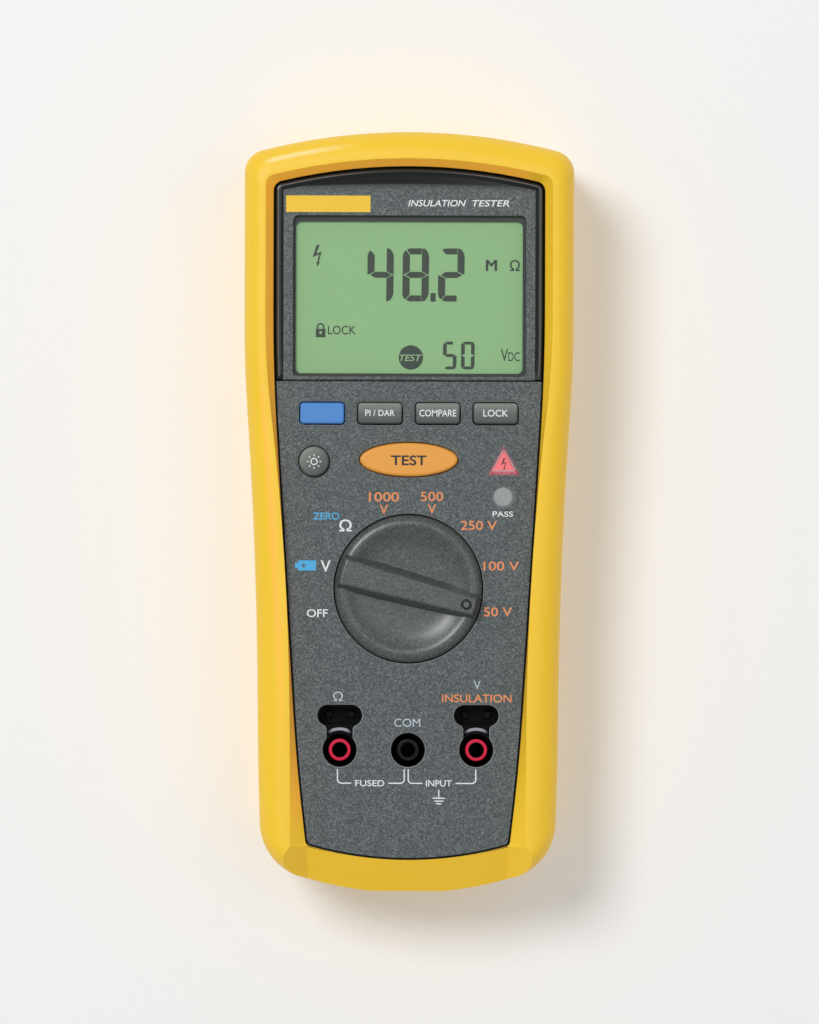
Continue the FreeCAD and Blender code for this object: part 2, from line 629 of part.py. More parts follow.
def terminal_block():
    block = box(*BLOCK)
    block = block.makeFillet(1.5, along(block, V(0, 1, 0)))
    block = block.multiFuse([socket_shape(x, 0.1, Y_BOSS, -17) for x in JACKS])
    for x in (JACKS[0], JACKS[2]):
        ridge = Part.makeTorus(SADDLE_R, 0.9, V(x, -18.2, JACK_Z), V(0, 1, 0))
        ridge = ridge.common(socket_shape(x, 0.1, -19.4, -17.5)).common(box(x - 5, x + 5, -20, -17, 43, 47))
        block = block.fuse(ridge)
    cuts = []
    for x in JACKS:
        cuts.append(rod_y(x, JACK_Z, 4.5, -20, -3.0))
        cuts.append(rod_y(x, JACK_Z, 3.12, -4, 5))
    for x in (JACKS[0], JACKS[2]):
        cuts.append(stadium(x, PROBE_Z, PROBE_SIZE[0] - 0.8, PROBE_SIZE[1] - 0.8, -20, -13.0))
        cuts += [rod_y(x + side * PROBE_PITCH / 2, PROBE_Z, 1.3, -14, 5) for side in (-1, 1)]
    return block.cut(cuts)


def jack_sleeve(x):
    sleeve = rod_y(x, JACK_Z, 3.1, -18.9, 4.4)
    sleeve = sleeve.makeFillet(0.3, edges_at(sleeve, -18.9))
    return sleeve.cut([rod_y(x, JACK_Z, BORE_R, -20, -16), rod_y(x, JACK_Z, 2.62, -16.6, 5)])


def jack_contacts():
    contacts = []
    for x in JACKS:
        tube = tube_y(x, JACK_Z, 2.6, BORE_R, -16.5, 4.2)
        tail = rod_y(x, JACK_Z, 2.6, 4.2, 4.9).fuse(rod_y(x, JACK_Z, 1.2, 4.9, Y_POWER_BOARD))
        contacts.append(tube.fuse(tail))
    return Part.makeCompound(contacts)


def probe_contacts():
    pins = []
    for x in (JACKS[0], JACKS[2]):
        for side in (-1, 1):
            place = (x + side * PROBE_PITCH / 2, PROBE_Z)
            pin = rod_y(*place, 1.25, -13.0, -4.0)
            pin = pin.makeFillet(0.4, edges_at(pin, -13.0))
            pins.append(pin.fuse(rod_y(*place, 0.8, -4.1, Y_POWER_BOARD)))
    return Part.makeCompound(pins)


# ---- boards and what is on them -----------------------------------------------------------
def power_places():
    """Screws that hold the power board to the rear case."""
    return [(side * 29.5, z) for z in (34.0, 105.0) for side in (-1, 1)]


def main_board():
    board = pad(0, 129.5, 66.4, 143.0, 2.0, Y_MAIN_BOARD, Y_MAIN_BOARD + BOARD)
    return board.cut([rod_y(x, z, 1.1, -20, 0) for x, z in board_places()])


def power_board():
    board = pad(0, 74.5, 65.0, 91.0, 2.0, Y_POWER_BOARD, Y_POWER_BOARD + BOARD)
    return board.cut([rod_y(x, z, 1.1, 0, 20) for x, z in power_places()])


def small_screw(x, z, y, way):
    """A pan-head screw whose head sits on a board at y, with its shank running the way given."""
    y_head = (y, y + 1.4) if way < 0 else (y - 1.4, y)
    y_shank = (y - 4.5, y + 0.1) if way < 0 else (y - 0.1, y + 6.0)
    return rod_y(x, z, 1.9, *y_head).fuse(rod_y(x, z, 0.9, *y_shank))


def board_screws():
    y_main = Y_MAIN_BOARD + BOARD
    screws = [small_screw(x, z, y_main, -1) for x, z in board_places()]
    screws += [small_screw(x, z, Y_POWER_BOARD, 1) for x, z in power_places()]
    return Part.makeCompound(screws)


def board_connector():
    header = box(-10, 10, Y_MAIN_BOARD + BOARD, -2.0, 62.0, 67.0)
    socket = box(-10.6, 10.6, -2.0, Y_POWER_BOARD, 61.6, 67.4)
    return header.makeFillet(0.4, along(header, V(0, 1, 0))).fuse(socket)


def control_chips():
    y = Y_MAIN_BOARD + BOARD
    chips = [pad(0, 165, 14, 14, 0.5, y + 0.2, y + 1.8), pad(-18, 120, 10, 7.5, 0.4, y + 0.2, y + 1.8),
             pad(18, 120, 10, 7.5, 0.4, y + 0.2, y + 1.8), pad(0, 90, 12, 12, 0.5, y + 0.2, y + 1.8)]
    feet = [box(-6.8, 6.8, y, y + 0.3, 158.4, 171.6), box(-22.5, -13.5, y, y + 0.3, 116.6, 123.4),
            box(13.5, 22.5, y, y + 0.3, 116.6, 123.4), box(-5.8, 5.8, y, y + 0.3, 84.4, 95.6)]
    return Part.makeCompound([chip.fuse(foot) for chip, foot in zip(chips, feet)])


def buzzer():
    can = rod_y(-20, 90, 6.5, Y_MAIN_BOARD + BOARD, Y_MAIN_BOARD + BOARD + 7.5)
    can = can.makeFillet(0.6, edges_at(can, Y_MAIN_BOARD + BOARD + 7.5))
    return can.cut(rod_y(-20, 90, 1.3, Y_MAIN_BOARD + BOARD + 5, 0))


Y_BACKSIDE = Y_POWER_BOARD + BOARD
FUSE_Z = 96.0
FUSE_Y = Y_BACKSIDE + 4.6


def fuse():
    tube = rod_x(FUSE_Y, FUSE_Z, 2.9, -16, 16)
    caps = [rod_x(FUSE_Y, FUSE_Z, 3.2, *ends) for ends in ((-16, -9.5), (9.5, 16))]
    return tube.multiFuse(caps)


def fuse_clips():
    clips = []
    for x in (-12.75, 12.75):
        block = box(x - 2.6, x + 2.6, Y_BACKSIDE, FUSE_Y + 1.6, FUSE_Z - 4.0, FUSE_Z + 4.0)
        clips.append(block.cut([rod_x(FUSE_Y, FUSE_Z, 3.23, x - 4, x + 4),
                                box(x - 4, x + 4, FUSE_Y, 30, FUSE_Z - 2.9, FUSE_Z + 2.9)]))
    return Part.makeCompound(clips)


def transformer_core():
    core = box(-9, 9, Y_BACKSIDE + 0.6, Y_BACKSIDE + 10.4, 62, 82)
    leg = box(-2.4, 2.4, Y_BACKSIDE + 3, Y_BACKSIDE + 8, 64.9, 79.1)
    return core.cut(box(-6, 6, 0, 30, 65, 79)).fuse(leg)


def transformer_coil():
    outer = box(-5.9, 5.9, Y_BACKSIDE + 0.6, Y_BACKSIDE + 10.2, 65.1, 78.9)
    outer = outer.makeFillet(1.6, along(outer, V(0, 0, 1)))
    return outer.cut(box(-2.45, 2.45, Y_BACKSIDE + 2.9, Y_BACKSIDE + 8.1, 60, 90))


def film_capacitors():
    capacitors = []
    for x in (-21.0, 21.0):
        block = box(x - 7.5, x + 7.5, Y_BACKSIDE, Y_BACKSIDE + 9.0, 62, 70)
        capacitors.append(block.makeFillet(0.8, block.Edges))
    return Part.makeCompound(capacitors)


def smoothing_capacitors():
    cans = []
    for x in (-21.0, 21.0):
        can = rod_z(x, Y_BACKSIDE + 4.2, 4.1, 73, 87)
        can = can.makeFillet(0.6, [e for e in can.Edges if isinstance(e.Curve, Part.Circle)])
        cans.append(can)
    return Part.makeCompound(cans)


def relay():
    body = box(-19, -3, Y_BACKSIDE, Y_BACKSIDE + 9.6, 42, 54)
    return body.makeFillet(0.7, body.Edges)


def surge_arrestors():
    discs = []
    for x in (6.0, 14.0, 22.0):
        disc = rod_x(Y_BACKSIDE + 5.2, 47, 4.6, x - 1.6, x + 1.6)
        discs.append(disc.fuse(box(x - 0.5, x + 0.5, Y_BACKSIDE, Y_BACKSIDE + 1.5, 45, 49)))
    return Part.makeCompound(discs)


# ---- battery ------------------------------------------------------------------------------
CELLS = [CELL_PITCH * (i - 1.5) for i in range(4)]
CELL_Y = BAY_FLOOR + 0.2 + CELL_R
CELL_Z = (140.6, 190.4)


def end_of(i, plus):
    """Height and direction of one end of a cell: neighbours lie head to tail."""
    up = (i % 2 == 0) == plus
    return (CELL_Z[1], 1) if up else (CELL_Z[0], -1)


def battery_cells():
    cells = []
    for i, x in enumerate(CELLS):
        can = rod_z(x, CELL_Y, CELL_R, *CELL_Z)
        can = can.makeFillet(0.7, [e for e in can.Edges if isinstance(e.Curve, Part.Circle)])
        z, way = end_of(i, True)
        cells.append(can.fuse(Part.makeCylinder(2.7, 1.0, V(x, CELL_Y, z), V(0, 0, way))))
    return Part.makeCompound(cells)


def wall_of(way):
    return BAY_Z[1] if way > 0 else BAY_Z[0]


def battery_plates():
    """The plates that the cells' positive ends touch."""
    plates = []
    for i, x in enumerate(CELLS):
        z, way = end_of(i, True)
        wall = wall_of(way)
        low, high = sorted((wall, wall - way * 0.5))
        plate = box(x - 5, x + 5, CELL_Y - 4.5, CELL_Y + 4.5, low, high)
        tip = Part.makeCylinder(2.2, abs(wall - z) - 1.0, V(x, CELL_Y, wall), V(0, 0, -way))
        plates.append(plate.fuse(tip))
    return Part.makeCompound(plates)


def battery_springs():
    """Conical springs behind the negative ends, each drawn as touching rings on a plate."""
    springs = []
    for i, x in enumerate(CELLS):
        z, way = end_of(i, False)
        wall = wall_of(way)
        low, high = sorted((wall, wall - way * 0.5))
        plate = box(x - 5, x + 5, CELL_Y - 4.5, CELL_Y + 4.5, low, high)
        gap = abs(wall - z) - 0.5
        rings = [Part.makeTorus(4.6 - 0.5 * k, 0.4, V(x, CELL_Y, wall - way * (0.8 + (gap - 0.7) * k / 5)),
                                V(0, 0, 1)) for k in range(6)]
        springs.append(plate.multiFuse(rings))
    return Part.makeCompound(springs)


def seal_ring(width, y0, y1):
    """A rounded frame round the battery bay, width wide."""
    z = sum(BAY_Z) / 2
    size = (2 * BAY_HALF + 2 * 1.7, BAY_Z[1] - BAY_Z[0] + 2 * 1.7)
    outer = pad(0, z, size[0] + width, size[1] + width, 3.0, y0, y1)
    return outer.cut(pad(0, z, size[0] - width, size[1] - width, 1.5, y0 - 1, y1 + 1))


def door_seal():
    return seal_ring(1.8, Y_CASE_BACK - 0.95, Y_CASE_BACK + 0.2)


Y_DOOR = (Y_CASE_BACK + 0.2, Y_CASE_BACK + 3.0)


def battery_door():
    middle = sum(DOOR_Z) / 2
    height = DOOR_Z[1] - DOOR_Z[0]
    plate = pad(0, middle, 2 * DOOR_HALF, height, 5.0, *Y_DOOR)
    plate = plate.makeFillet(0.8, edges_at(plate, Y_DOOR[1]))
    bay_middle = sum(BAY_Z) / 2
    width, tall = 2 * BAY_HALF, BAY_Z[1] - BAY_Z[0]
    spigot = pad(0, bay_middle, width - 0.6, tall - 0.6, 1.0, Y_DOOR[0] - 0.6, Y_DOOR[0] + 0.1)
    spigot = spigot.cut(pad(0, bay_middle, width - 4, tall - 4, 1.0, 20, 21.65))
    plate = plate.fuse(spigot)
    cuts = []
    for side in (-1, 1):
        cuts.append(rod_y(side * LOCK_X, LOCK_Z, 3.4, Y_DOOR[1] - 1.9, 30))
        cuts.append(rod_y(side * LOCK_X, LOCK_Z, 2.05, 15, 30))
    grooves = [pad(0, 150 + 3.2 * i, 30, 1.2, 0.55, Y_DOOR[1] - 0.5, 30) for i in range(5)]
    return plate.cut(cuts + grooves)


def door_lock(side):
    x = side * LOCK_X
    head = rod_y(x, LOCK_Z, 3.3, Y_DOOR[1] - 1.85, Y_DOOR[1] - 0.2)
    head = head.makeFillet(0.3, edges_at(head, Y_DOOR[1] - 0.2))
    shaft = rod_y(x, LOCK_Z, 2.0, 16.6, Y_DOOR[1] - 1.8)
    cam = box(x - 3.8, x + 3.8, 16.6, 18.2, LOCK_Z - 1.4, LOCK_Z + 1.4)
    slot = box(x - 2.6, x + 2.6, Y_DOOR[1] - 1.1, 30, LOCK_Z - 0.5, LOCK_Z + 0.5)
    return head.multiFuse([shaft, cam]).cut(slot)


# ---- stand --------------------------------------------------------------------------------
Y_STAND = (21.8, 24.8)


def tilt_stand():
    leg_top = HINGE_Z + 0.5
    middle = (leg_top + STAND_FOOT) / 2
    leg = box(-STAND_HALF, STAND_HALF, *Y_STAND, STAND_FOOT, leg_top)
    low = [e for e in along(leg, V(0, 1, 0)) if e.BoundBox.ZMax < middle]
    leg = leg.makeFillet(7.0, low)
    leg = leg.makeFillet(0.8, [e for e in edges_at(leg, Y_STAND[1]) if e.BoundBox.ZMin < leg_top - 1])
    barrel = rod_x(HINGE_Y, HINGE_Z, 2.4, -STAND_HALF, STAND_HALF)
    pins = rod_x(HINGE_Y, HINGE_Z, HINGE_PIN_R, -28.6, 28.6)
    leg = leg.multiFuse([barrel, pins])
    pocket_half = (STAND_HALF - 3 * 2.2) / 2
    pockets = []
    for side in (-1, 1):
        for z0, z1 in ((28.0, 53.0), (55.5, 80.5), (83.0, 108.0)):
            x0 = side * (1.1 + pocket_half)
            pockets.append(pad(x0, (z0 + z1) / 2, 2 * pocket_half, z1 - z0, 1.0, 21, 23.4))
    return leg.cut(pockets)


# ---- files --------------------------------------------------------------------------------
def parts():
    yield "holster", holster()
    yield "front_case", front_case()
    yield "rear_case", rear_case()
    yield "case_gasket", case_gasket()
    yield "case_screws", case_screws()
    yield "display_window", display_window()
    yield "window_adhesive", window_adhesive()
    yield "lcd_bezel", lcd_bezel()
    yield "lcd_glass", lcd_glass()
    yield "lcd_backlight", lcd_backlight()
    yield "zebra_strips", zebra_strips()
    yield "warning_lens", warning_lens()
    yield "pass_lens", pass_lens()
    yield "indicator_leds", indicator_leds()
    for name, x in zip(("function_key", "ratio_key", "compare_key", "lock_key"), KEYS):
        yield name, rect_key(x)
    yield "test_key", test_key()
    yield "backlight_key", backlight_key()
    yield "keypad_membrane", keypad_membrane()
    yield "selector_knob", selector_knob()
    yield "knob_pointer", knob_pointer()
    yield "selector_shaft", selector_shaft()
    yield "selector_seal", selector_seal()
    yield "selector_rotor", selector_rotor()
    yield "wiper_contacts", wiper_contacts()
    yield "detent_ring", detent_ring()
    yield "detent_spring", detent_spring()
    yield "terminal_block", terminal_block()
    for name, x in zip(("ohm_jack_sleeve", "common_jack_sleeve", "volt_jack_sleeve"), JACKS):
        yield name, jack_sleeve(x)
    yield "jack_contacts", jack_contacts()
    yield "probe_contacts", probe_contacts()
    yield "main_board", main_board()
    yield "power_board", power_board()
    yield "board_screws", board_screws()
    yield "board_connector", board_connector()
    yield "control_chips", control_chips()
    yield "buzzer", buzzer()
    yield "fuse", fuse()
    yield "fuse_clips", fuse_clips()
    yield "transformer_core", transformer_core()
    yield "transformer_coil", transformer_coil()
    yield "film_capacitors", film_capacitors()
    yield "smoothing_capacitors", smoothing_capacitors()
    yield "relay", relay()
    yield "surge_arrestors", surge_arrestors()
    yield "battery_cells", battery_cells()
    yield "battery_plates", battery_plates()
    yield "battery_springs", battery_springs()
    yield "battery_door", battery_door()
    yield "door_seal", door_seal()
    yield "left_door_lock", door_lock(-1)
    yield "right_door_lock", door_lock(1)
    yield "tilt_stand", tilt_stand()


os.makedirs("parts", exist_ok=True)
for name, shape in parts():
    size = shape.optimalBoundingBox()
    print(f"{name}: {len(shape.Solids)} solids, {shape.Volume:.1f} mm3, valid {shape.isValid()}, "
          f"{size.XLength:.1f} x {size.YLength:.1f} x {size.ZLength:.1f}")
    shape.exportStep(f"parts/{name}.step")
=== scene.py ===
"""The look of a hand-held insulation resistance tester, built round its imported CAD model."""
import json
import math

import bpy
from mathutils import Matrix, Vector

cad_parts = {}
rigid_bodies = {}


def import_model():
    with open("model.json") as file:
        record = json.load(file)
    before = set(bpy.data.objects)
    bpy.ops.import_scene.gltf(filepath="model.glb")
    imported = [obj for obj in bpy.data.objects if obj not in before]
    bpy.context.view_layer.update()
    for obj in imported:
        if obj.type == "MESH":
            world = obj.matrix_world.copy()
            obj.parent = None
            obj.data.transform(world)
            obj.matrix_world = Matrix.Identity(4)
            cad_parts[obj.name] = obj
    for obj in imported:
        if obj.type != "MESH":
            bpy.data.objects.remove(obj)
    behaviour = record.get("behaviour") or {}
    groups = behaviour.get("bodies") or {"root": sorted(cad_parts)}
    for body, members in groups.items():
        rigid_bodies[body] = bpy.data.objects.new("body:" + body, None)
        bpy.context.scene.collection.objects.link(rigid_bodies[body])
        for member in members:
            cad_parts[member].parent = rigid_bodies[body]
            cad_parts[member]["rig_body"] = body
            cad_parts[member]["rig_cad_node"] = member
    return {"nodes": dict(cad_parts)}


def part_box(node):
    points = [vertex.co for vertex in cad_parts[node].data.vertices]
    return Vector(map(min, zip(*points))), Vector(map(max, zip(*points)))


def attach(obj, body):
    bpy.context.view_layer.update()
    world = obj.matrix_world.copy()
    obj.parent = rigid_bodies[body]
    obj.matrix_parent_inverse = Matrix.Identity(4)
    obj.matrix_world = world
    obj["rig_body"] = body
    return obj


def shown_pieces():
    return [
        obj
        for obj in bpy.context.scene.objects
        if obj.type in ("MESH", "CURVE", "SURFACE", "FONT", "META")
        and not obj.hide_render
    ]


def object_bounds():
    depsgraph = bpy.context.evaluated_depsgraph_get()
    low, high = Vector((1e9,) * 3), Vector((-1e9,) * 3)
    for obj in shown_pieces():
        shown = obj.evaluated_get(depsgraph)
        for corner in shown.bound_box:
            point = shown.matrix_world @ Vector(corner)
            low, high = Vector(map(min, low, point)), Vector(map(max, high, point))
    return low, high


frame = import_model()
CAD_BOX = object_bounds()
NODES = frame["nodes"]
MM = 0.001
PRINT = 0.03                      # thickness of a printed legend, mm
GLASS_SIGN = 0.1                  # depth of a sign in the display, mm
GLASS_BAR = 0.16                  # depth of a digit's bars, mm
ARCH_BEND = 0.0033                # the window's top edge falls by this times x squared, mm
FOOT_BEND = 0.0047                # the panel's bottom edge rises by this times x squared, mm
PANEL_FOOT = 9.7                  # height of the panel's bottom edge in the middle, mm


# ---------------------------------------------------------------- shader sums
class Value:
    """What a node gives, used in sums as a number is."""

    def __init__(self, socket, finish):
        self.socket = socket
        self.finish = finish

    def __add__(self, other):
        return self.finish.math("ADD", self, other)

    __radd__ = __add__

    def __sub__(self, other):
        return self.finish.math("SUBTRACT", self, other)

    def __rsub__(self, other):
        return self.finish.math("SUBTRACT", other, self)

    def __mul__(self, other):
        return self.finish.math("MULTIPLY", self, other)

    __rmul__ = __mul__

    def __truediv__(self, other):
        return self.finish.math("DIVIDE", self, other)

    def __abs__(self):
        return self.finish.math("ABSOLUTE", self)


class Finish:
    """One procedural material and the nodes that make it."""

    def __init__(self, name):
        self.material = bpy.data.materials.new(name)
        self.material.use_nodes = True
        self.tree = self.material.node_tree
        self.tree.nodes.clear()
        self.place = self.node("ShaderNodeTexCoord", output="Object")

    def node(self, kind, settings=None, sockets=None, output=0):
        """Adds a node. The first two stops of a colour ramp are the ones that it is made with."""
        made = self.tree.nodes.new(kind)
        for key, value in (settings or {}).items():
            if key == "stops":
                for i, (at, colour) in enumerate(value):
                    if i < 2:
                        stop = made.color_ramp.elements[i]
                        stop.position = at
                    else:
                        stop = made.color_ramp.elements.new(at)
                    stop.color = colour
            else:
                setattr(made, key, value)
        for key, value in (sockets or {}).items():
            if isinstance(value, Value):
                self.tree.links.new(value.socket, made.inputs[key])
            else:
                made.inputs[key].default_value = value
        return Value(made.outputs[output], self) if len(made.outputs) else made

    def math(self, operation, a, b=0.0):
        return self.node("ShaderNodeMath", {"operation": operation}, {0: a, 1: b})

    def xyz(self):
        """The object coordinates in millimetres."""
        parts = [self.node("ShaderNodeSeparateXYZ", None, {0: self.place}, i) for i in range(3)]
        return [p * 1000 for p in parts]

    def step(self, value, low, high):
        """0 below low, 1 above high, smooth between them."""
        return self.node("ShaderNodeMapRange", {"interpolation_type": "SMOOTHSTEP"},
                         {0: value, 1: low, 2: high, 3: 0.0, 4: 1.0})

    def noise(self, grain, detail=2.0, roughness=0.5, at=None):
        """Noise whose grains are about that many millimetres across."""
        return self.node("ShaderNodeTexNoise", None, {
            "Vector": at or self.place, "Scale": 1000 / grain, "Detail": detail, "Roughness": roughness})

    def ramp(self, value, stops):
        return self.node("ShaderNodeValToRGB", {"stops": stops}, {0: value})

    def blend(self, a, b, share):
        return self.node("ShaderNodeMix", {"data_type": "RGBA"}, {0: share, 6: a, 7: b}, 2)

    def bump(self, height, depth, distance=0.1):
        return self.node("ShaderNodeBump", None, {
            "Strength": depth, "Distance": distance * MM, "Height": height})

    def surface(self, **sockets):
        """The main shader, wired to the output."""
        return self.out(self.node("ShaderNodeBsdfPrincipled", None, {
            key.replace("_", " "): value for key, value in sockets.items()}))

    def out(self, shader):
        self.node("ShaderNodeOutputMaterial", None, {0: shader})
        return self.material


def rgb(r, g, b):
    """A colour as eyes see it, 0 to 255, in the numbers that the shader uses."""
    return tuple((c / 255 / 12.92) if c < 10 else ((c / 255 + 0.055) / 1.055) ** 2.4
                 for c in (r, g, b)) + (1.0,)


def shade(colour, factor):
    """The colour made lighter or darker."""
    return tuple(min(1.0, c * factor) for c in colour[:3]) + (1.0,)


# ------------------------------------------------------------------ finishes
def moulded(name, colour, rough=0.45, grain=0.35, depth=0.12, vary=0.06):
    """Moulded or formed stuff: slow colour changes, uneven gloss and a fine skin."""
    f = Finish(name)
    slow = f.noise(14, 3)
    fine = f.noise(grain, 2)
    colour = f.blend(shade(colour, 1 - vary), shade(colour, 1 + vary), slow * 0.6 + fine * 0.4)
    gloss = rough - 0.06 + slow * 0.12
    return f.surface(Base_Color=colour, Roughness=gloss, Normal=f.bump(fine, depth))


def flecked(f, dark, middle, light, grain=0.34):
    """The colour of plastic with pale and dark flecks in it."""
    cells = f.node("ShaderNodeTexVoronoi", None, {"Vector": f.place, "Scale": 1000 / grain}, 1)
    grains = f.node("ShaderNodeSeparateColor", None, {0: cells})
    flecks = grains * 0.7 + f.noise(grain * 1.4, 2) * 0.3
    cloud = f.noise(9, 2)
    colour = f.ramp(flecks, [(0.14, dark), (0.86, light), (0.5, middle)])
    return f.blend(colour, shade(middle, 0.95), cloud * 0.2), flecks


FLECKS = (rgb(53, 59, 61), rgb(77, 85, 87), rgb(116, 124, 124))


def holster_finish(crest, panel_face, window_top):
    """Yellow rubber, with its crest at that y in mm and a painted highlight, a pale sheen, along its left
    shoulder. It has a faint painted red glow all over, and painted shade, deeper orange with a stronger
    painted glow, on the slopes that lead in to the window from the left and the top. Painted shade darkens
    its edge in the gap against the panel."""
    f = Finish("holster_rubber_skin")
    x, y, z = f.xyz()
    slow = f.noise(22, 3)
    skin = f.noise(0.32, 2)
    panel_half = f.node("ShaderNodeMapRange", None, {0: z, 1: 8.0, 2: 140.0, 3: 29.0, 4: 37.6})
    arch = window_top - x * x * ARCH_BEND
    inner = (f.step(0 - y, 10.0, 14.0) * f.step(panel_half - abs(x), -4.2, -3.4)
             * f.step(arch - z, -4.4, -3.6) * f.step(z, 5.0, 6.0))
    slope = f.step(y, crest, crest + 0.3) * inner * f.step(z, 12.0, 30.0)
    foot = PANEL_FOOT + x * x * FOOT_BEND
    # Painted shade: a dark line on the holster's edge in the gap against the panel.
    gap = f.step(y, panel_face - 0.08, panel_face + 0.07) * inner * f.step(z - foot, -0.75, -0.55)
    rise = z - arch
    top = f.step(rise, -6.0, -3.0) * (1 - f.step(x, 32.0, 36.0))
    # Painted shade: the slopes in from the left and from the top turn deeper orange.
    painted_slope_shade = f.math("MAXIMUM", f.step(0 - x, 20.0, 26.0), top) * slope
    # Painted highlight: a pale streak along the top of the left shoulder.
    painted_highlight = (f.step(rise, 5.3, 6.5) * (1 - f.step(rise, 6.7, 7.7)) * f.step(0 - y, 14.0, 18.0)
             * f.step(x, -41.5, -38.0) * (1 - f.step(x, -30.0, -12.0)))
    colour = f.blend(rgb(243, 205, 40), rgb(247, 211, 50), slow)
    colour = f.blend(colour, rgb(252, 190, 58), painted_slope_shade)
    colour = f.blend(colour, rgb(236, 190, 34), skin * 0.2)
    colour = f.blend(colour, rgb(255, 240, 170), painted_highlight * 0.75)
    colour = f.blend(colour, rgb(22, 19, 15), gap)
    # Painted light: a faint red glow all over the rubber, stronger on the painted shade and none in the
    # gap.
    painted_glow = f.blend((0.07, 0.004, 0.0, 1.0), (0.18, 0.062, 0.010, 1.0), painted_slope_shade)
    painted_glow = f.blend(painted_glow, (0.0, 0.0, 0.0, 1.0), gap)
    return f.surface(Base_Color=colour, Roughness=0.40 + slow * 0.10, Specular_IOR_Level=0.5,
                     Emission_Color=painted_glow, Emission_Strength=1.0, Normal=f.bump(skin, 0.10, 0.05))


def panel_finish(lens):
    """The meter's face: flecked outside, plain black-grey in the wells, with a painted highlight, a pale
    line on the broken edge round each opening, and the lamp's red halo.
    """
    f = Finish("panel_flecks")
    x, y, z = f.xyz()
    colour, flecks = flecked(f, *FLECKS)
    face = f.step(0 - y, 19.26, 19.34)
    # Painted highlight: the chamfer round each opening is coloured pale.
    painted_edge_highlight = f.step(0 - y, 19.30, 19.36) * (1 - f.step(0 - y, 19.44, 19.49))
    colour = f.blend(colour, rgb(158, 164, 168), painted_edge_highlight)
    colour = f.blend(rgb(14, 15, 15), colour, face)
    return f.surface(Base_Color=colour, Roughness=0.46 + flecks * 0.12,
                     Emission_Color=halo(f, x, z, lens), Emission_Strength=1.0,
                     Normal=f.bump(flecks, 0.22, 0.06))


def beyond_lamp(f, x, z, lens):
    """How far a point lies outside the lamp's three sides, in mm."""
    low, high = lens
    middle = (low.x + high.x) / 2 / MM
    half = (high.x - low.x) / 2 / MM - 0.35
    foot, top = low.z / MM + 0.4, high.z / MM - 0.4
    length = math.hypot(half, top - foot)
    side_x, side_z = (top - foot) / length, half / length
    beside = (abs(x - middle) - half) * side_x + (z - foot) * side_z
    return f.math("MAXIMUM", beside, foot - z)


def halo(f, x, z, lens):
    """Red light that spreads over the panel round the lamp."""
    near = 1 - f.step(beyond_lamp(f, x, z, lens), -0.3, 1.5)
    return f.blend(rgb(0, 0, 0), rgb(190, 26, 60), near * near)


def knob_finish():
    """The selector's plastic, darker and glossier than the panel's."""
    f = Finish("knob_flecks")
    colour, flecks = flecked(f, rgb(56, 62, 61), rgb(74, 81, 80), rgb(100, 107, 105), 0.3)
    return f.surface(Base_Color=colour, Roughness=0.30 + flecks * 0.10, Specular_IOR_Level=0.7,
                     Normal=f.bump(flecks, 0.15, 0.05))


def pointer_finish(middle):
    """The knob's pointer dot, dark round its edge."""
    f = Finish("pointer_dot")
    x, _, z = f.xyz()
    across, up = x - middle.x, z - middle.z
    edge = f.step(f.math("SQRT", across * across + up * up), 0.78, 0.92)
    cloud = f.noise(0.6, 2)
    colour = f.blend(f.blend(rgb(84, 90, 89), rgb(104, 110, 108), cloud), rgb(10, 11, 11), edge)
    return f.surface(Base_Color=colour, Roughness=0.35 + edge * 0.2)


def back_finish():
    """Spark-eroded grey plastic of the rear case, the door and the stand."""
    f = Finish("case_texture")
    pits = f.noise(0.55, 3, 0.6)
    slow = f.noise(18, 2)
    colour = f.blend(rgb(66, 71, 73), rgb(88, 93, 94), pits * 0.7 + slow * 0.3)
    return f.surface(Base_Color=colour, Roughness=0.50 + pits * 0.14,
                     Normal=f.bump(pits, 0.35, 0.08))


def window_finish(opening, mask_half, mask_top):
    """A clear sheet with a black border and a flecked mask printed on it, with a painted shadow that
    darkens the mask just under its top edge.
    """
    f = Finish("window_print")
    x, _, z = f.xyz()
    flecks_colour, _ = flecked(f, *FLECKS)
    x0, x1, z0, z1 = opening
    middle_x, middle_z = (x0 + x1) / 2, (z0 + z1) / 2
    round_corner = 1.6
    over_x = f.math("MAXIMUM", abs(x - middle_x) - ((x1 - x0) / 2 - round_corner), 0.0)
    over_z = f.math("MAXIMUM", abs(z - middle_z) - ((z1 - z0) / 2 - round_corner), 0.0)
    reach = f.math("SQRT", over_x * over_x + over_z * over_z)
    printed = f.step(reach, round_corner - 0.04, round_corner + 0.04)
    arch = mask_top - x * x * 0.0007
    grey = f.step(arch - z, -0.1, 0.5) * f.step(mask_half - abs(x), -0.05, 0.05)
    # Painted shadow: the flecks fade to dark over about 2 mm under the top edge.
    soft = f.step(arch - z, -0.2, 2.2)
    colour = f.blend(rgb(13, 15, 16), f.blend(shade(FLECKS[1], 0.28), flecks_colour, soft), grey)
    colour = f.blend(rgb(150, 165, 150), colour, printed)
    return f.surface(Base_Color=colour, Roughness=0.10 + grey * 0.28, Alpha=0.035 + printed * 0.965,
                     Specular_IOR_Level=0.5)


def display_finish():
    """The display's green field, with a faint painted glow of its own green."""
    f = Finish("display_green")
    mottle = f.noise(0.5, 2)
    slow = f.noise(40, 1)
    colour = f.blend(rgb(138, 183, 127), rgb(143, 188, 132), mottle * 0.5 + slow * 0.5)
    # Painted light: a faint glow that keeps the green field evenly bright.
    return f.surface(Base_Color=colour, Roughness=0.42 + mottle * 0.05, Emission_Color=colour,
                     Emission_Strength=0.08)


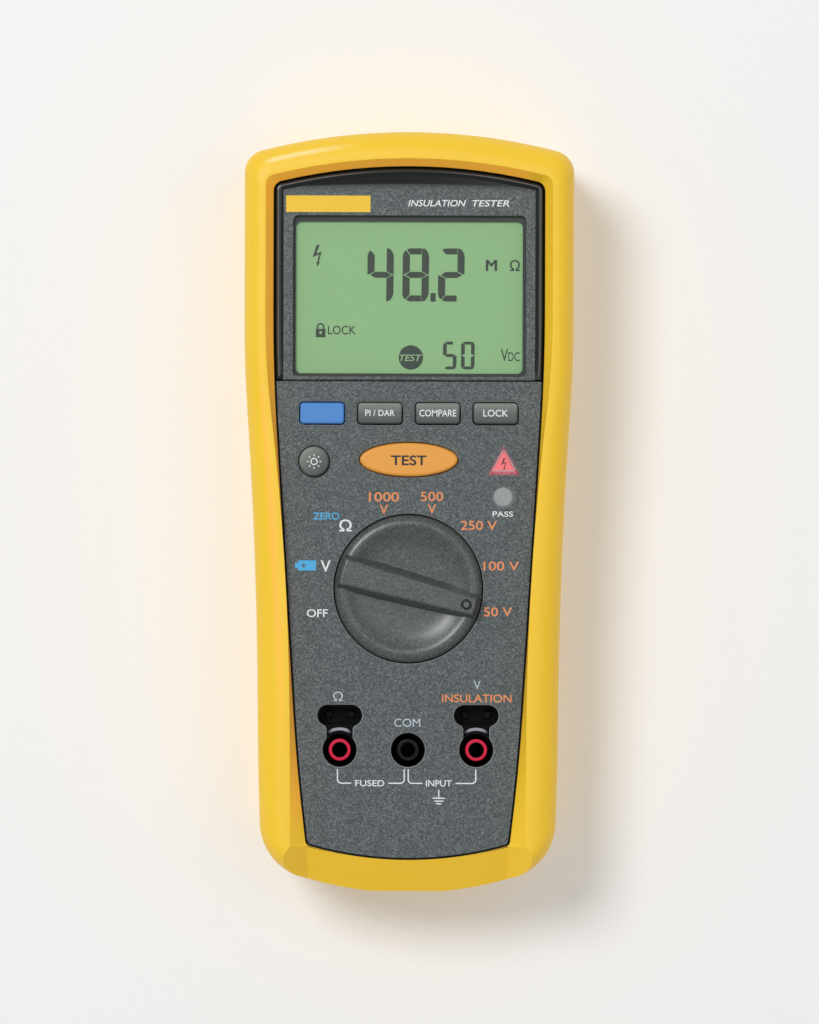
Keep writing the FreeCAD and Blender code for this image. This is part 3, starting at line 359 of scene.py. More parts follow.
def lens_finish(name, face, strength, edge=None, lens=None):
    """A lamp's lens. One whose box is given has a deeper edge round its lit middle."""
    f = Finish(name)
    cloud = f.noise(2.2, 2)
    colour = f.blend(face, shade(face, 1.1), cloud)
    if lens:
        x, _, z = f.xyz()
        colour = f.blend(colour, edge, f.step(beyond_lamp(f, x, z, lens), -0.30, 0.05))
    return f.surface(Base_Color=colour, Roughness=0.25 + cloud * 0.1,
                     Emission_Color=colour, Emission_Strength=strength)


def sleeve_finish(name, colour, middle):
    """A jack's moulded ring: black at its bore and round its rim."""
    f = Finish(name)
    x, _, z = f.xyz()
    across, up = x - middle.x, z - middle.z
    far = f.math("SQRT", across * across + up * up)
    ring = f.step(far, 2.16, 2.24) * (1 - f.step(far, 3.0, 3.08))
    cloud = f.noise(1.2, 2)
    colour = f.blend(colour, shade(colour, 0.9), cloud)
    return f.surface(Base_Color=f.blend(rgb(6, 6, 7), colour, ring), Roughness=0.28 + cloud * 0.06,
                     Specular_IOR_Level=0.2)


def grey_key_finish(name, middle, half, sideways):
    """Grey key rubber with painted light and shade: lighter towards the top and, for a round key, towards
    the left, darker towards the bottom.
    """
    f = Finish(name)
    x, _, z = f.xyz()
    # Painted light and shade, as if lit from the upper left.
    rise = ((z - middle.z) - (x - middle.x) * sideways) / half
    fine = f.noise(0.35, 2)
    colour = f.ramp(rise * 0.5 + 0.5 + (fine - 0.5) * 0.12, [
        (0.0, rgb(70, 75, 71)), (1.0, rgb(132, 138, 130)), (0.5, rgb(94, 100, 95))])
    return f.surface(Base_Color=colour, Roughness=0.44 + fine * 0.06, Normal=f.bump(fine, 0.10))


def rim_finish(crest):
    """Gloss black with a painted highlight, a paler line along the rim's crest, at that y in mm. The
    painted highlight is dimmer in the middle of the top."""
    f = Finish("rim_gloss")
    x, y, _ = f.xyz()
    uneven = f.noise(0.5, 3)
    # Painted highlight along the crest.
    line = f.step(crest - y, -0.012, 0.0) * (0.3 + f.step(abs(x), 4.0, 26.0) * 0.7)
    colour = f.blend(rgb(12, 14, 14), f.blend(rgb(58, 58, 56), rgb(100, 98, 94), uneven), line)
    return f.surface(Base_Color=colour, Roughness=0.16 + line * 0.2)


def ink(name, colour):
    """Screen-printed ink, a little uneven."""
    f = Finish(name)
    cloth = f.noise(0.25, 2)
    return f.surface(Base_Color=f.blend(shade(colour, 0.93), shade(colour, 1.05), cloth),
                     Roughness=0.45 + cloth * 0.1)


def board_finish():
    """Green board with copper tracks under its mask and silver pads."""
    f = Finish("board_tracks")
    turned = f.node("ShaderNodeMapping", None, {0: f.place, "Rotation": (math.radians(90), 0, 0)})
    rows = f.node("ShaderNodeTexBrick", {"offset": 0.37, "squash": 0.6, "squash_frequency": 3}, {
        "Vector": turned, "Scale": 1000 / 9, "Mortar Size": 0.035, "Brick Width": 0.7,
        "Row Height": 0.22}, 1)
    dots = f.node("ShaderNodeTexVoronoi", None, {"Vector": f.place, "Scale": 1000 / 2.6})
    pads = 1 - f.step(dots, 0.16, 0.2)
    cloud = f.noise(6, 2)
    colour = f.blend(rgb(16, 78, 44), rgb(24, 96, 54), cloud)
    colour = f.blend(colour, rgb(70, 140, 74), rows * 0.7)
    colour = f.blend(colour, rgb(190, 190, 185), pads)
    return f.surface(Base_Color=colour, Roughness=0.3 + cloud * 0.1, Metallic=pads * 0.8)


def copper_finish():
    """Turns of enamelled copper wire."""
    f = Finish("copper_turns")
    wires = f.node("ShaderNodeTexWave", {"bands_direction": "Z"}, {
        "Vector": f.place, "Scale": 1000 / 1.4, "Distortion": 0.3})
    turns = f.node("ShaderNodeSeparateColor", None, {0: wires})
    colour = f.blend(rgb(120, 62, 26), rgb(206, 126, 66), turns)
    return f.surface(Base_Color=colour, Roughness=0.3 + turns * 0.1, Metallic=0.85,
                     Normal=f.bump(turns, 0.5, 0.3))


def cell_finish(low, high):
    """Shrink wrap on the cells: dark, with a copper-coloured end."""
    f = Finish("cell_wrapper")
    z = f.xyz()[2]
    scuff = f.noise(3, 3)
    share = (z - low) / (high - low)
    gold = f.step(share, 0.70, 0.71)
    steel = 1 - f.step(share, 0.015, 0.02) * (1 - f.step(share, 0.975, 0.98))
    colour = f.blend(rgb(30, 32, 36), rgb(196, 140, 70), gold)
    colour = f.blend(colour, rgb(190, 190, 186), steel)
    return f.surface(Base_Color=f.blend(colour, rgb(90, 90, 90), scuff * 0.12),
                     Roughness=0.25 + scuff * 0.2, Metallic=steel * 0.9)


def stripes_finish():
    """Rubber connector strips: thin black lines between pale ones."""
    f = Finish("connector_stripes")
    x = f.xyz()[0]
    lines = f.math("PINGPONG", x, 0.25) * 4
    dark = f.step(lines, 0.4, 0.6)
    return f.surface(Base_Color=f.blend(rgb(215, 205, 200), rgb(28, 28, 28), dark),
                     Roughness=0.55 + dark * 0.1)


def spun_metal(name, colour, rough):
    """Turned, plated metal with fine tool marks."""
    f = Finish(name)
    marks = f.noise(0.6, 3, at=f.node("ShaderNodeMapping", None, {0: f.place, "Scale": (1, 8, 1)}))
    tarnish = f.noise(5, 3)
    return f.surface(Base_Color=f.blend(shade(colour, 0.8), colour, tarnish), Metallic=1.0,
                     Roughness=rough + marks * 0.12, Normal=f.bump(marks, 0.1, 0.03))


def socket_black():
    """Glossy black plastic deep in the wells."""
    f = Finish("socket_black")
    cloud = f.noise(1.5, 2)
    return f.surface(Base_Color=f.blend(rgb(9, 10, 11), rgb(18, 19, 20), cloud),
                     Roughness=0.30 + cloud * 0.12, Normal=f.bump(cloud, 0.05, 0.05))


def block_finish(jacks):
    """The terminal block: black wells, and a painted highlight on the ridge above each outer jack."""
    f = Finish("terminal_black")
    x, y, z = f.xyz()
    # Painted highlight: a pale arc on the ridge, near each outer jack.
    painted_ridge_highlight = f.step(0 - y, 18.94, 19.06) * f.step(z - jacks[0].z, 4.4, 4.7)
    nearest = f.math("MINIMUM", *(abs(x - jack.x) for jack in jacks))
    painted_ridge_highlight = painted_ridge_highlight * (1 - f.step(nearest, 1.6, 3.4))
    cloud = f.noise(1.5, 2)
    colour = f.blend(f.blend(rgb(5, 5, 6), rgb(9, 9, 10), cloud), rgb(156, 156, 166), painted_ridge_highlight)
    return f.surface(Base_Color=colour, Roughness=0.34 + cloud * 0.1, Specular_IOR_Level=0.08)


def dress_nodes():
    """Gives every CAD node its finish."""
    cell_low, cell_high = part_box("battery_cells")
    low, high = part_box("lcd_bezel")
    opening = (low.x / MM + 0.55, high.x / MM - 0.35, low.z / MM + 0.4, high.z / MM + 0.35)
    window_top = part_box("display_window")[1].z / MM
    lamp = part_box("warning_lens")
    jack_red = rgb(222, 34, 72)
    by_slot = {
        "holster_rubber": holster_finish(front("holster"), front("front_case"), window_top),
        "case_grey": back_finish(),
        "black_plastic": socket_black(),
        "clear_window": window_finish(opening, mask_half=35.1, mask_top=197.9),
        "black_film": moulded("adhesive_film", rgb(20, 21, 22), 0.6),
        "lcd_green": display_finish(),
        "diffuser": moulded("milky_diffuser", rgb(226, 230, 226), 0.35, vary=0.02),
        "key_blue": moulded("key_blue_rubber", rgb(74, 138, 212), 0.48, vary=0.03),
        "key_grey": grey_key_finish("key_grey_rubber", centre("ratio_key"), 2.9, 0.0),
        "key_orange": moulded("key_orange_rubber", rgb(238, 164, 68), 0.46, vary=0.03),
        "knob_grey": knob_finish(),
        "silicone": moulded("silicone_rubber", rgb(52, 54, 56), 0.55),
        "red_lens": lens_finish("lamp_red", rgb(206, 98, 104), 0.48, rgb(196, 30, 62), lamp),
        "grey_lens": lens_finish("lamp_grey", rgb(146, 152, 153), 0.05),
        "brass": spun_metal("brass_turned", rgb(214, 170, 96), 0.22),
        "steel": spun_metal("steel_plated", rgb(176, 178, 180), 0.28),
        "board": board_finish(),
        "chip_black": moulded("chip_epoxy", rgb(34, 35, 37), 0.5, grain=0.2, depth=0.2),
        "ferrite": moulded("ferrite_grey", rgb(52, 54, 58), 0.6, grain=0.3, depth=0.3),
        "copper_tape": copper_finish(),
        "film_box": moulded("capacitor_box", rgb(196, 58, 44), 0.35, vary=0.04),
        "can_blue": moulded("capacitor_sleeve", rgb(30, 52, 106), 0.3, vary=0.06),
        "surge_blue": moulded("disc_epoxy", rgb(36, 84, 176), 0.4, vary=0.08),
        "cell_wrap": cell_finish(cell_low.z / MM, cell_high.z / MM),
        "zebra": stripes_finish(),
    }
    by_node = {
        "front_case": panel_finish(lamp),
        "lcd_bezel": moulded("bezel_dark", rgb(30, 36, 34), 0.5),
        "jack_contacts": spun_metal("contact_dark", rgb(58, 54, 48), 0.45),
        "probe_contacts": spun_metal("pin_dark", rgb(34, 32, 28), 0.4),
        "fuse": moulded("fuse_tube", rgb(232, 226, 210), 0.4),
        "knob_pointer": pointer_finish(centre("knob_pointer")),
        "ohm_jack_sleeve": sleeve_finish("ohm_sleeve", jack_red, centre("ohm_jack_sleeve")),
        "volt_jack_sleeve": sleeve_finish("volt_sleeve", jack_red, centre("volt_jack_sleeve")),
        "common_jack_sleeve": sleeve_finish("common_sleeve", rgb(12, 13, 13), centre("common_jack_sleeve")),
        "backlight_key": grey_key_finish("round_key_rubber", centre("backlight_key"), 5.2, 0.7),
        "terminal_block": block_finish([centre("ohm_jack_sleeve"), centre("volt_jack_sleeve")]),
    }
    for name, node in NODES.items():
        slot_name = node.material_slots[0].material.name
        node.material_slots[0].material = by_node.get(name) or by_slot[slot_name]


# --------------------------------------------------------------- shaping help
def alone(obj=None):
    """Selects nothing, or only obj."""
    if bpy.context.object and bpy.context.object.mode != "OBJECT":
        bpy.ops.object.mode_set(mode="OBJECT")
    bpy.ops.object.select_all(action="DESELECT")
    if obj:
        obj.select_set(True)
        bpy.context.view_layer.objects.active = obj


def settle(obj):
    """Puts the object's place, turn and size into its mesh."""
    alone(obj)
    bpy.ops.object.transform_apply(location=True, rotation=True, scale=True)
    return obj


def face_front(obj, x, y, z, width, height):
    """A flat mesh in the XY plane becomes a print on a face: its middle at x, z and its back at y, all in
    mm."""
    alone(obj)
    low = Vector([min(v.co[i] for v in obj.data.vertices) for i in range(3)])
    high = Vector([max(v.co[i] for v in obj.data.vertices) for i in range(3)])
    size, middle = high - low, (low + high) / 2
    grow = Vector((width * MM / size.x, height * MM / size.y, PRINT * MM / size.z))
    obj.data.transform(Matrix.Translation(-middle))
    obj.scale = grow
    obj.rotation_euler = (math.radians(90), 0, 0)
    obj.location = (x * MM, (y - PRINT / 2) * MM, z * MM)
    return settle(obj)


def lettering(words, x, y, z, width, height, bold=0.010, slant=0.0):
    """Words as a thin print of that width and height, in mm."""
    alone()
    bpy.ops.object.text_add()
    obj = bpy.context.object
    text = obj.data
    text.body = words
    text.offset = bold
    text.shear = slant
    text.extrude = 0.02
    text.resolution_u = 5
    bpy.ops.object.convert(target="MESH")
    return face_front(obj, x, y, z, width, height)


def flat_shape(loops, y, thickness=PRINT):
    """A print with that outline: each loop is a closed line of (x, z) points in mm, and one inside another
    is a hole."""
    alone()
    curve = bpy.data.curves.new("outline", "CURVE")
    curve.dimensions = "2D"
    curve.fill_mode = "BOTH"
    curve.extrude = thickness / 2 * MM
    for loop in loops:
        line = curve.splines.new("POLY")
        line.points.add(len(loop) - 1)
        for point, (x, z) in zip(line.points, loop):
            point.co = (x * MM, z * MM, 0, 1)
        line.use_cyclic_u = True
    obj = bpy.data.objects.new("outline", curve)
    bpy.context.scene.collection.objects.link(obj)
    alone(obj)
    bpy.ops.object.convert(target="MESH")
    obj = bpy.context.object
    obj.rotation_euler = (math.radians(90), 0, 0)
    obj.location = (0, (y - thickness / 2) * MM, 0)
    return settle(obj)


def moved(points, dx, dz, size=1.0):
    """The points at another size and place."""
    return [(x * size + dx, z * size + dz) for x, z in points]


def arc(x, z, r, start, end, steps=8):
    """Points on part of a circle, in degrees, counter-clockwise."""
    return [(x + r * math.cos(math.radians(start + (end - start) * i / steps)),
             z + r * math.sin(math.radians(start + (end - start) * i / steps)))
            for i in range(steps + 1)]


def stroke(path, width):
    """The outline of a line of that width along the path."""
    left, right = [], []
    for i, (x, z) in enumerate(path):
        ax, az = path[max(i - 1, 0)]
        bx, bz = path[min(i + 1, len(path) - 1)]
        length = math.hypot(bx - ax, bz - az)
        nx, nz = -(bz - az) / length * width / 2, (bx - ax) / length * width / 2
        left.append((x + nx, z + nz))
        right.append((x - nx, z - nz))
    return left + right[::-1]


def finish_piece(pieces, name, material, body):
    """Joins the pieces into one, names it, paints it and puts it on its body."""
    alone(pieces[0])
    for piece in pieces:
        piece.select_set(True)
    if len(pieces) > 1:
        bpy.ops.object.join()
    obj = bpy.context.object
    obj.name = name
    obj.data.name = name
    obj.data.materials.clear()
    obj.data.materials.append(material)
    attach(obj, body)


def centre(node):
    """The middle of a node's box, in mm."""
    low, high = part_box(node)
    return (low + high) / 2 / MM


def front(node):
    """Y of a node's foremost point, in mm."""
    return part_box(node)[0].y / MM


# -------------------------------------------------------------------- prints
# Words round the selector: x and z from its middle, width and height, in mm.
DIAL = [("1000", -6.9, 25.6, 8.4, 2.65), ("V", -6.9, 22.1, 2.3, 2.65), ("500", 6.5, 25.75, 6.3, 2.65),
        ("V", 6.5, 22.25, 2.3, 2.65), ("250 V", 19.6, 17.7, 10.1, 2.6), ("100 V", 25.9, 6.4, 9.95, 2.55),
        ("50 V", 25.0, -6.4, 7.9, 2.55)]
# The outline of the spark sign about its middle, in mm.
BOLT = [(-0.13, 3.04), (0.74, 3.04), (-0.22, 0.54), (1.25, 1.15), (0.48, -1.92), (0.80, -1.86),
        (0.10, -3.04), (-0.22, -1.79), (0.06, -1.89), (0.61, 0.45), (-1.25, -0.48)]


def battery_sign(x, z):
    """A cell seen from the side, with its pole to the left and a plus cut out."""
    case = [(-2.1, -1.4), (2.9, -1.4), (2.9, 1.4), (-2.1, 1.4), (-2.1, 0.7), (-2.9, 0.7), (-2.9, -0.7),
            (-2.1, -0.7)]
    a, b = 0.16, 0.72
    plus = [(-a, b), (a, b), (a, a), (b, a), (b, -a), (a, -a), (a, -b), (-a, -b), (-a, -a), (-b, -a),
            (-b, a), (-a, a)]
    return [moved(case, x, z), moved(plus, x - 0.5, z)]


def earth_sign(x, z):
    """The stem and the three bars of an earth connection."""
    bars = [stroke([(x, z), (x, z - 2.2)], 0.33)]
    for half, drop in ((1.72, 2.35), (1.2, 3.15), (0.72, 3.9)):
        bars.append(stroke([(x - half, z - drop), (x + half, z - drop)], 0.33))
    return bars


def bracket(x0, x1, z, stop0, stop1, up=3.9, r=1.1, width=0.33):
    """Lines from under two jacks that turn towards each other and leave room for a word."""
    left = [(x0, z + up)] + arc(x0 + r, z + r, r, 180, 270) + [(stop0, z)]
    right = [(x1, z + up)] + arc(x1 - r, z + r, r, 0, -90) + [(stop1, z)]
    return [stroke(left, width), stroke(right, width)]


def panel_prints(white, pale, orange, blue):
    """Everything printed on the panel, one piece for each ink."""
    face = front("front_case")
    knob = centre("selector_knob")
    ohm, common, volt = (centre(n) for n in ("ohm_jack_sleeve", "common_jack_sleeve", "volt_jack_sleeve"))
    passing = centre("pass_lens")

    made = [lettering(w, knob.x + dx, face, knob.z + dz, width, height)
            for w, dx, dz, width, height in DIAL]
    made.append(lettering("INSULATION", volt.x + 0.1, face, volt.z + 14.45, 19.4, 2.25))
    finish_piece(made, "legend_orange", orange, "meter")

    made = [lettering("ZERO", knob.x - 23.0, face, knob.z + 20.2, 7.35, 2.0)]
    made.append(flat_shape(battery_sign(knob.x - 28.7, knob.z + 6.4), face))
    finish_piece(made, "legend_blue", blue, "meter")

    made = [lettering("Ω", knob.x - 17.6, face, knob.z + 17.6, 3.45, 3.35),
            lettering("V", knob.x - 23.1, face, knob.z + 6.2, 2.8, 3.25),
            lettering("OFF", knob.x - 25.4, face, knob.z - 6.9, 5.85, 2.2),
            lettering("PASS", passing.x - 0.1, face, passing.z - 4.7, 5.7, 1.5, 0.008)]
    words_z, fused_x, input_x = ohm.z - 9.3, -10.6, 8.65
    made.append(lettering("FUSED", fused_x, face, words_z, 8.1, 1.75, 0.008))
    made.append(lettering("INPUT", input_x, face, words_z, 7.2, 1.75, 0.008))
    lines = (bracket(ohm.x - 0.6, common.x - 1.0, words_z, fused_x - 5.2, fused_x + 5.2)
             + bracket(common.x + 0.1, volt.x - 0.1, words_z, input_x - 4.65, input_x + 4.65)
             + earth_sign(input_x, words_z - 1.8))
    made += [flat_shape([line], face) for line in lines]
    finish_piece(made, "legend_white", white, "meter")

    made = [lettering("Ω", ohm.x - 0.5, face, ohm.z + 14.95, 2.7, 2.65, 0.0),
            lettering("V", volt.x + 0.2, face, volt.z + 18.2, 2.0, 2.45, 0.0),
            lettering("COM", common.x - 0.2, face, common.z + 7.6, 7.3, 2.3, 0.0)]
    finish_piece(made, "legend_pale", pale, "meter")


def key_prints(white, dark):
    """The words on the keys and the sun on the backlight key, each on its own key's body."""
    for node, words, width, height, body in (
            ("ratio_key", "PI / DAR", 8.2, 1.75, "ratio_button"),
            ("compare_key", "COMPARE", 10.3, 1.9, "compare_button"),
            ("lock_key", "LOCK", 6.9, 1.9, "lock_button")):
        at = centre(node)
        made = lettering(words, at.x, front(node), at.z + 0.1, width, height, 0.008)
        finish_piece([made], node + "_word", white, body)
    at = centre("test_key")
    made = lettering("TEST", at.x, front("test_key"), at.z - 0.2, 9.95, 2.8, 0.018)
    finish_piece([made], "test_key_word", dark, "test_button")
    at = centre("backlight_key")
    face = front("backlight_key")
    sun = [flat_shape([arc(at.x, at.z, r, 0, 360, 24)[:-1] for r in (1.0, 0.72)], face)]
    for i in range(8):
        turn = math.radians(45 * i)
        ray = [(at.x + r * math.cos(turn), at.z + r * math.sin(turn)) for r in (1.5, 2.05)]
        sun.append(flat_shape([stroke(ray, 0.26)], face))
    finish_piece(sun, "backlight_key_sun", white, "backlight_button")


def lamp_prints(pale, dark):
    """The pale line round the lamp and the spark in it."""
    low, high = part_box("warning_lens")
    face = front("warning_lens")
    x = (low.x + high.x) / 2 / MM
    foot, top = low.z / MM + 0.73, high.z / MM + 0.3
    half = (high.x - low.x) / 2 / MM - 0.15

    corner, line = 0.62, 0.34
    side = half - corner - 0.35

    def rounded(r):
        return (arc(x + side, foot + corner, r, -90, 30, 6) + arc(x, top - 1.15, r, 30, 150, 6)
                + arc(x - side, foot + corner, r, 150, 270, 6))

    made = flat_shape([rounded(corner), rounded(corner - line)], face)
    finish_piece([made], "lamp_outline", pale, "meter")
    made = flat_shape([moved(BOLT, x, foot + 2.12, 0.58)], face)
    finish_piece([made], "lamp_spark", dark, "meter")


# ------------------------------------------------------------------- display
def bars(w, h, across, down):
    """The seven bars of a digit, by letter, in a box w wide and h high. across is the width of an upright
    bar and down the height of a level one."""
    m, gap = h / 2, 0.02 * w
    lean = across * 0.42
    upper_left = [(0, m + gap), (0, h - across), (lean * 0.5, h - lean * 1.05), (lean, h - lean * 0.75),
                  (across, h - down - gap * 1.5), (across, m + down / 2 + gap), (gap * 2, m + gap * 0.6)]
    top = [(lean * 1.25, h - lean * 0.45), (across, h), (w - across - gap, h), (w - across - gap, h - down),
           (across + gap, h - down)]
    upper_right = [(w - across, h), (w - across * 0.55, h - across * 0.08),
                   (w - across * 0.2, h - across * 0.5), (w, h - across * 1.1), (w, m + gap),
                   (w - gap * 2, m + gap), (w - across, m + down / 2 + gap)]
    middle = [(across * 0.42, m), (across + gap, m + down / 2), (w - across - gap, m + down / 2),
              (w - across * 0.3, m), (w - across - gap, m - down / 2), (across + gap, m - down / 2)]

    def below(points):
        return [(x, h - z) for x, z in points]

    return {"f": upper_left, "a": top, "b": upper_right, "g": middle, "e": below(upper_left),
            "d": below(top), "c": below(upper_right)}


# The bars that each digit lights.
LIT = {"4": "fbgc", "8": "abcdefg", "2": "abged", "5": "afgcd", "0": "abcdef"}


def digit(sign, x, z, y, w, h, across, down, slant=0.012):
    """One digit, with the lower left corner of its box at x, z."""
    made = []
    shapes = bars(w, h, across, down)
    for letter in LIT[sign]:
        leaning = [(px + pz * slant + x, pz + z) for px, pz in shapes[letter]]
        made.append(flat_shape([leaning], y, GLASS_BAR))
    return made


def display_prints(dark, green):
    """What the display shows. Heights are from the middle of the glass."""
    face = front("lcd_glass")
    z = centre("lcd_glass").z

    made = []
    for sign, x in (("4", -11.8), ("8", -1.95), ("2", 8.0)):
        made += digit(sign, x, z - 1.0, face, 7.3, 14.8, 1.95, 1.65)
    point = [(5.95, z - 1.05), (7.35, z - 1.05), (7.35, z + 1.3), (5.95, z + 1.3)]
    made.append(flat_shape([point], face, GLASS_BAR))
    for sign, x in (("5", 9.45), ("0", 14.5)):
        made += digit(sign, x, z - 19.95, face, 3.75, 7.7, 0.98, 0.78)
    finish_piece(made, "display_digits", dark, "meter")

    # Three copies of the M side by side make it bold, each a little in front of the last.
    made = [lettering("M", 22.95 + aside, face - 0.01 * i, z + 9.1, 2.9, 3.15, 0.0)
            for i, aside in enumerate((-0.13, 0.0, 0.13))]
    made += [lettering("Ω", 29.5, face, z + 9.1, 2.8, 3.15, 0.016),
             lettering("V", 26.65, face, z - 15.95, 2.1, 3.5, 0.008),
             lettering("DC", 29.35, face, z - 16.4, 3.2, 2.55, 0.008),
             lettering("LOCK", -18.8, face, z - 9.1, 7.8, 2.45, 0.008)]
    made.append(flat_shape([moved(BOLT, -25.8, z + 11.7)], face, GLASS_SIGN))
    body = [(-26.1, z - 11.1), (-23.4, z - 11.1), (-23.4, z - 8.8), (-26.1, z - 8.8)]
    keyhole = arc(-24.75, z - 9.8, 0.42, 0, 360, 12)[:-1]
    made.append(flat_shape([body, keyhole], face, GLASS_SIGN))
    shackle = [(-23.9, z - 8.9)] + arc(-24.75, z - 8.2, 0.85, 0, 180, 10) + [(-25.6, z - 8.9)]
    made.append(flat_shape([stroke(shackle, 0.42)], face, GLASS_SIGN))
    finish_piece(made, "display_signs", dark, "meter")

    disc = flat_shape([arc(0.5, z - 16.7, 3.4, 0, 360, 48)[:-1]], face, GLASS_SIGN)
    finish_piece([disc], "display_test_disc", dark, "meter")
    word = lettering("TEST", 0.45, face - GLASS_SIGN, z - 16.8, 6.3, 1.85, 0.01, 0.25)
    finish_piece([word], "display_test_word", green, "meter")


# -------------------------------------------------------------------- window
def window_badge(yellow, white):
    """A blank badge and the window's title."""
    face = front("display_window")
    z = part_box("display_window")[1].z / MM - 10.3
    left, right, half = -34.4, -10.9, 2.3
    badge = flat_shape([[(left, z - half), (right, z - half), (right, z + half), (left, z + half)]], face)
    finish_piece([badge], "blank_badge", yellow, "meter")
    words = [lettering("INSULATION", 7.7, face, z + 0.25, 16.1, 1.8, 0.010, 0.22),
             lettering("TESTER", 22.7, face, z + 0.25, 10.3, 1.8, 0.010, 0.22)]
    finish_piece(words, "window_title", white, "meter")


def delete_faces(obj, unwanted):
    """Deletes the faces that unwanted picks, and stays in edit mode."""
    bpy.ops.mesh.select_all(action="DESELECT")
    bpy.ops.object.mode_set(mode="OBJECT")
    for face in obj.data.polygons:
        face.select = unwanted(face)
    bpy.ops.object.mode_set(mode="EDIT")
    bpy.ops.mesh.delete(type="FACE")


# From the window's edge inwards: how far in each step goes and how far it rises, in mm.
RIM_STEPS = ((0.10, 0.20), (0.20, 0.14), (0.30, 0.06), (0.30, 0.0), (0.40, -0.07), (0.40, -0.14),
             (0.25, -0.19))


def window_rim(black):
    """A glossy raised rim round the window's sides and top."""
    alone(NODES["display_window"])
    bpy.ops.object.duplicate()
    rim = bpy.context.object
    rim.parent = None
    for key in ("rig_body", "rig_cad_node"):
        del rim[key]
    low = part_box("display_window")[0]
    alone(rim)
    bpy.ops.object.mode_set(mode="EDIT")
    bpy.ops.mesh.select_mode(type="FACE")
    bpy.ops.mesh.select_all(action="SELECT")
    bpy.ops.mesh.remove_doubles(threshold=1e-6)
    same_plane = 1e-5

    def off_front(face):
        return any(abs(rim.data.vertices[i].co.y - low.y) > same_plane for i in face.vertices)

    delete_faces(rim, off_front)
    bpy.ops.mesh.select_all(action="SELECT")
    bpy.ops.mesh.dissolve_limited(angle_limit=math.radians(0.5))
    bpy.ops.mesh.select_all(action="SELECT")
    for inward, rise in RIM_STEPS:
        bpy.ops.mesh.inset(thickness=inward * MM, depth=rise * MM)
    bpy.ops.mesh.delete(type="FACE")
    open_foot = low.z + 2.2 * MM
    delete_faces(rim, lambda face: face.center.z < open_foot)
    bpy.ops.object.mode_set(mode="OBJECT")
    bpy.ops.object.shade_smooth_by_angle(angle=math.radians(60))
    finish_piece([rim], "window_rim", black, "meter")


# --------------------------------------------------------------------- stage
def area_light(name, place, size, power):
    """A round white light aimed at the middle of the tester."""
    light = bpy.data.lights.new(name, "AREA")
    light.shape = "DISK"
    light.size = size
    light.energy = power
    obj = bpy.data.objects.new(name, light)
    obj.location = place
    obj.rotation_euler = (Vector((0, 0, 0.106)) - Vector(place)).to_track_quat("-Z", "Y").to_euler()
    bpy.context.scene.collection.objects.link(obj)
    return obj


def pale_table():
    """The tester lies on its back, so in this frame the table stands upright behind it. From behind it
    isn't seen."""
    alone()
    back = CAD_BOX[1].y + 0.4 * MM
    bpy.ops.mesh.primitive_plane_add(size=6, location=(0, back, 0.1), rotation=(math.radians(90), 0, 0))
    table = settle(bpy.context.object)
    table.name = "pale_table"
    f = Finish("table_paper")
    grain = f.noise(1.5, 2)
    paper = f.node("ShaderNodeBsdfPrincipled", None, {
        "Base Color": f.blend((0.84, 0.84, 0.84, 1), (0.86, 0.86, 0.86, 1), grain), "Roughness": 0.9,
        "Specular IOR Level": 0.0, "Emission Color": (1, 1, 1, 1), "Emission Strength": 0.12})
    clear = f.node("ShaderNodeBsdfTransparent")
    behind = f.node("ShaderNodeNewGeometry", output="Backfacing")
    table.data.materials.append(f.out(f.node("ShaderNodeMixShader", None, {0: behind, 1: paper, 2: clear})))


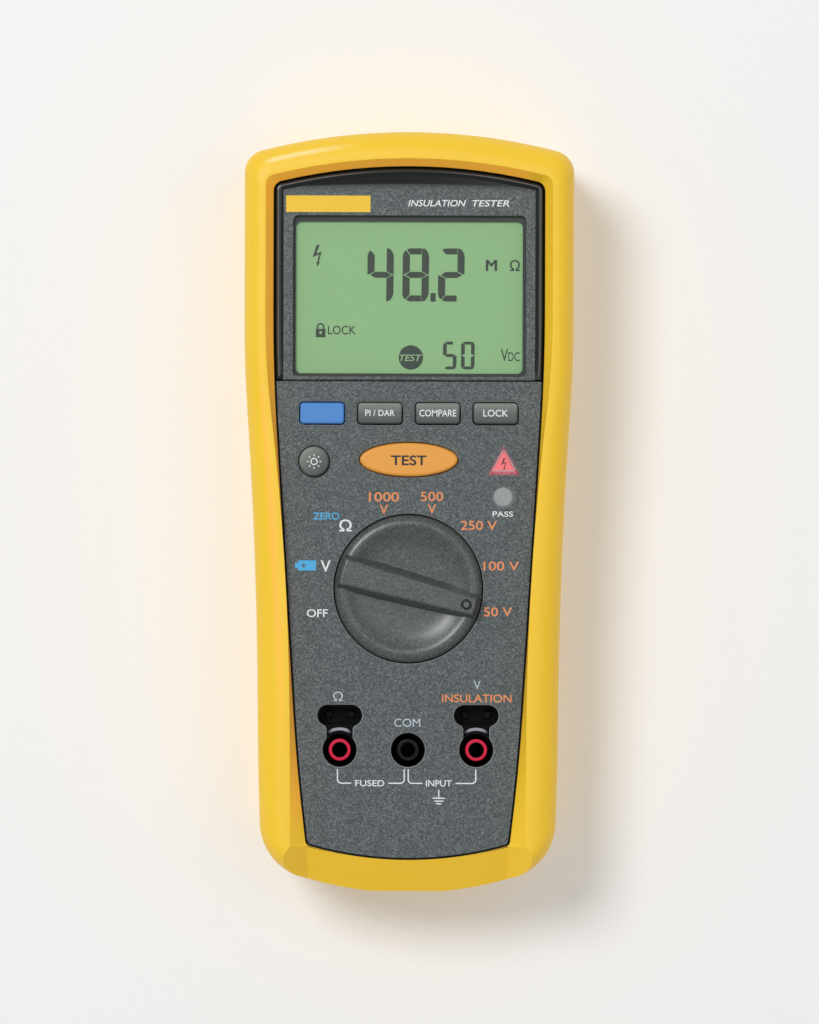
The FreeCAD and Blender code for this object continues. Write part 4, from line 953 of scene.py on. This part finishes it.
def plain_world():
    """Soft light from all round, and a paler white where the camera looks past everything."""
    world = bpy.data.worlds.new("soft_white")
    bpy.context.scene.world = world
    world.use_nodes = True
    tree = world.node_tree
    tree.nodes.clear()
    path = tree.nodes.new("ShaderNodeLightPath")
    soft = tree.nodes.new("ShaderNodeBackground")
    soft.inputs["Color"].default_value = (1.0, 1.0, 1.0, 1)
    soft.inputs["Strength"].default_value = 0.40
    seen = tree.nodes.new("ShaderNodeBackground")
    seen.inputs["Color"].default_value = (0.92, 0.92, 0.92, 1)
    mix = tree.nodes.new("ShaderNodeMixShader")
    out = tree.nodes.new("ShaderNodeOutputWorld")
    tree.links.new(path.outputs["Is Camera Ray"], mix.inputs[0])
    tree.links.new(soft.outputs[0], mix.inputs[1])
    tree.links.new(seen.outputs[0], mix.inputs[2])
    tree.links.new(mix.outputs[0], out.inputs[0])


def studio():
    """The lights. The two behind light only the tester, so that the table stays even."""
    plain_world()
    area_light("soft_key", (-0.95, -2.3, 0.98), 0.95, 33.0)
    area_light("broad_fill", (0.6, -1.6, 0.2), 1.2, 3.2)
    back_lights = [area_light("rear_key", (-0.25, 1.5, 0.5), 0.6, 6.5),
                   area_light("rear_fill", (0.5, 1.5, 0.0), 1.2, 4.0)]
    tester = bpy.data.collections.new("tester_pieces")
    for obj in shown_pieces():
        tester.objects.link(obj)
    for light in back_lights:
        light.visible_glossy = False
        light.light_linking.receiver_collection = tester
        light.light_linking.blocker_collection = tester


def camera():
    """Looks straight at the panel, turned a little on its axis."""
    distance, aside, height, seen_height = 1.40, 0.00025, 0.1062, 0.2857
    sensor = 36
    data = bpy.data.cameras.new("camera")
    data.sensor_width = sensor
    data.lens = sensor * distance / seen_height
    obj = bpy.data.objects.new("camera", data)
    obj.location = (aside, front("front_case") * MM - distance, height)
    obj.rotation_euler = (math.radians(90), math.radians(-0.167), 0)
    bpy.context.scene.collection.objects.link(obj)
    bpy.context.scene.camera = obj


# ---------------------------------------------------------------------- build
dress_nodes()
WHITE = ink("ink_white", rgb(236, 240, 242))
PALE = ink("ink_pale", rgb(190, 200, 212))
ORANGE = ink("ink_orange", rgb(236, 146, 88))
BLUE = ink("ink_blue", rgb(72, 178, 232))
DARK = ink("ink_dark", rgb(28, 33, 31))
SEGMENT = ink("segment_dark", rgb(38, 54, 43))
panel_prints(WHITE, PALE, ORANGE, BLUE)
key_prints(WHITE, DARK)
lamp_prints(ink("lamp_line", rgb(186, 158, 162)), ink("lamp_dark", rgb(92, 52, 56)))
display_prints(SEGMENT, ink("segment_green", rgb(150, 192, 142)))
window_badge(ink("badge_yellow", rgb(247, 201, 44)), WHITE)
window_rim(rim_finish(front("display_window") - sum(rise for inward, rise in RIM_STEPS[:4])))
studio()
pale_table()
camera()
bpy.context.scene.view_settings.view_transform = "Standard"
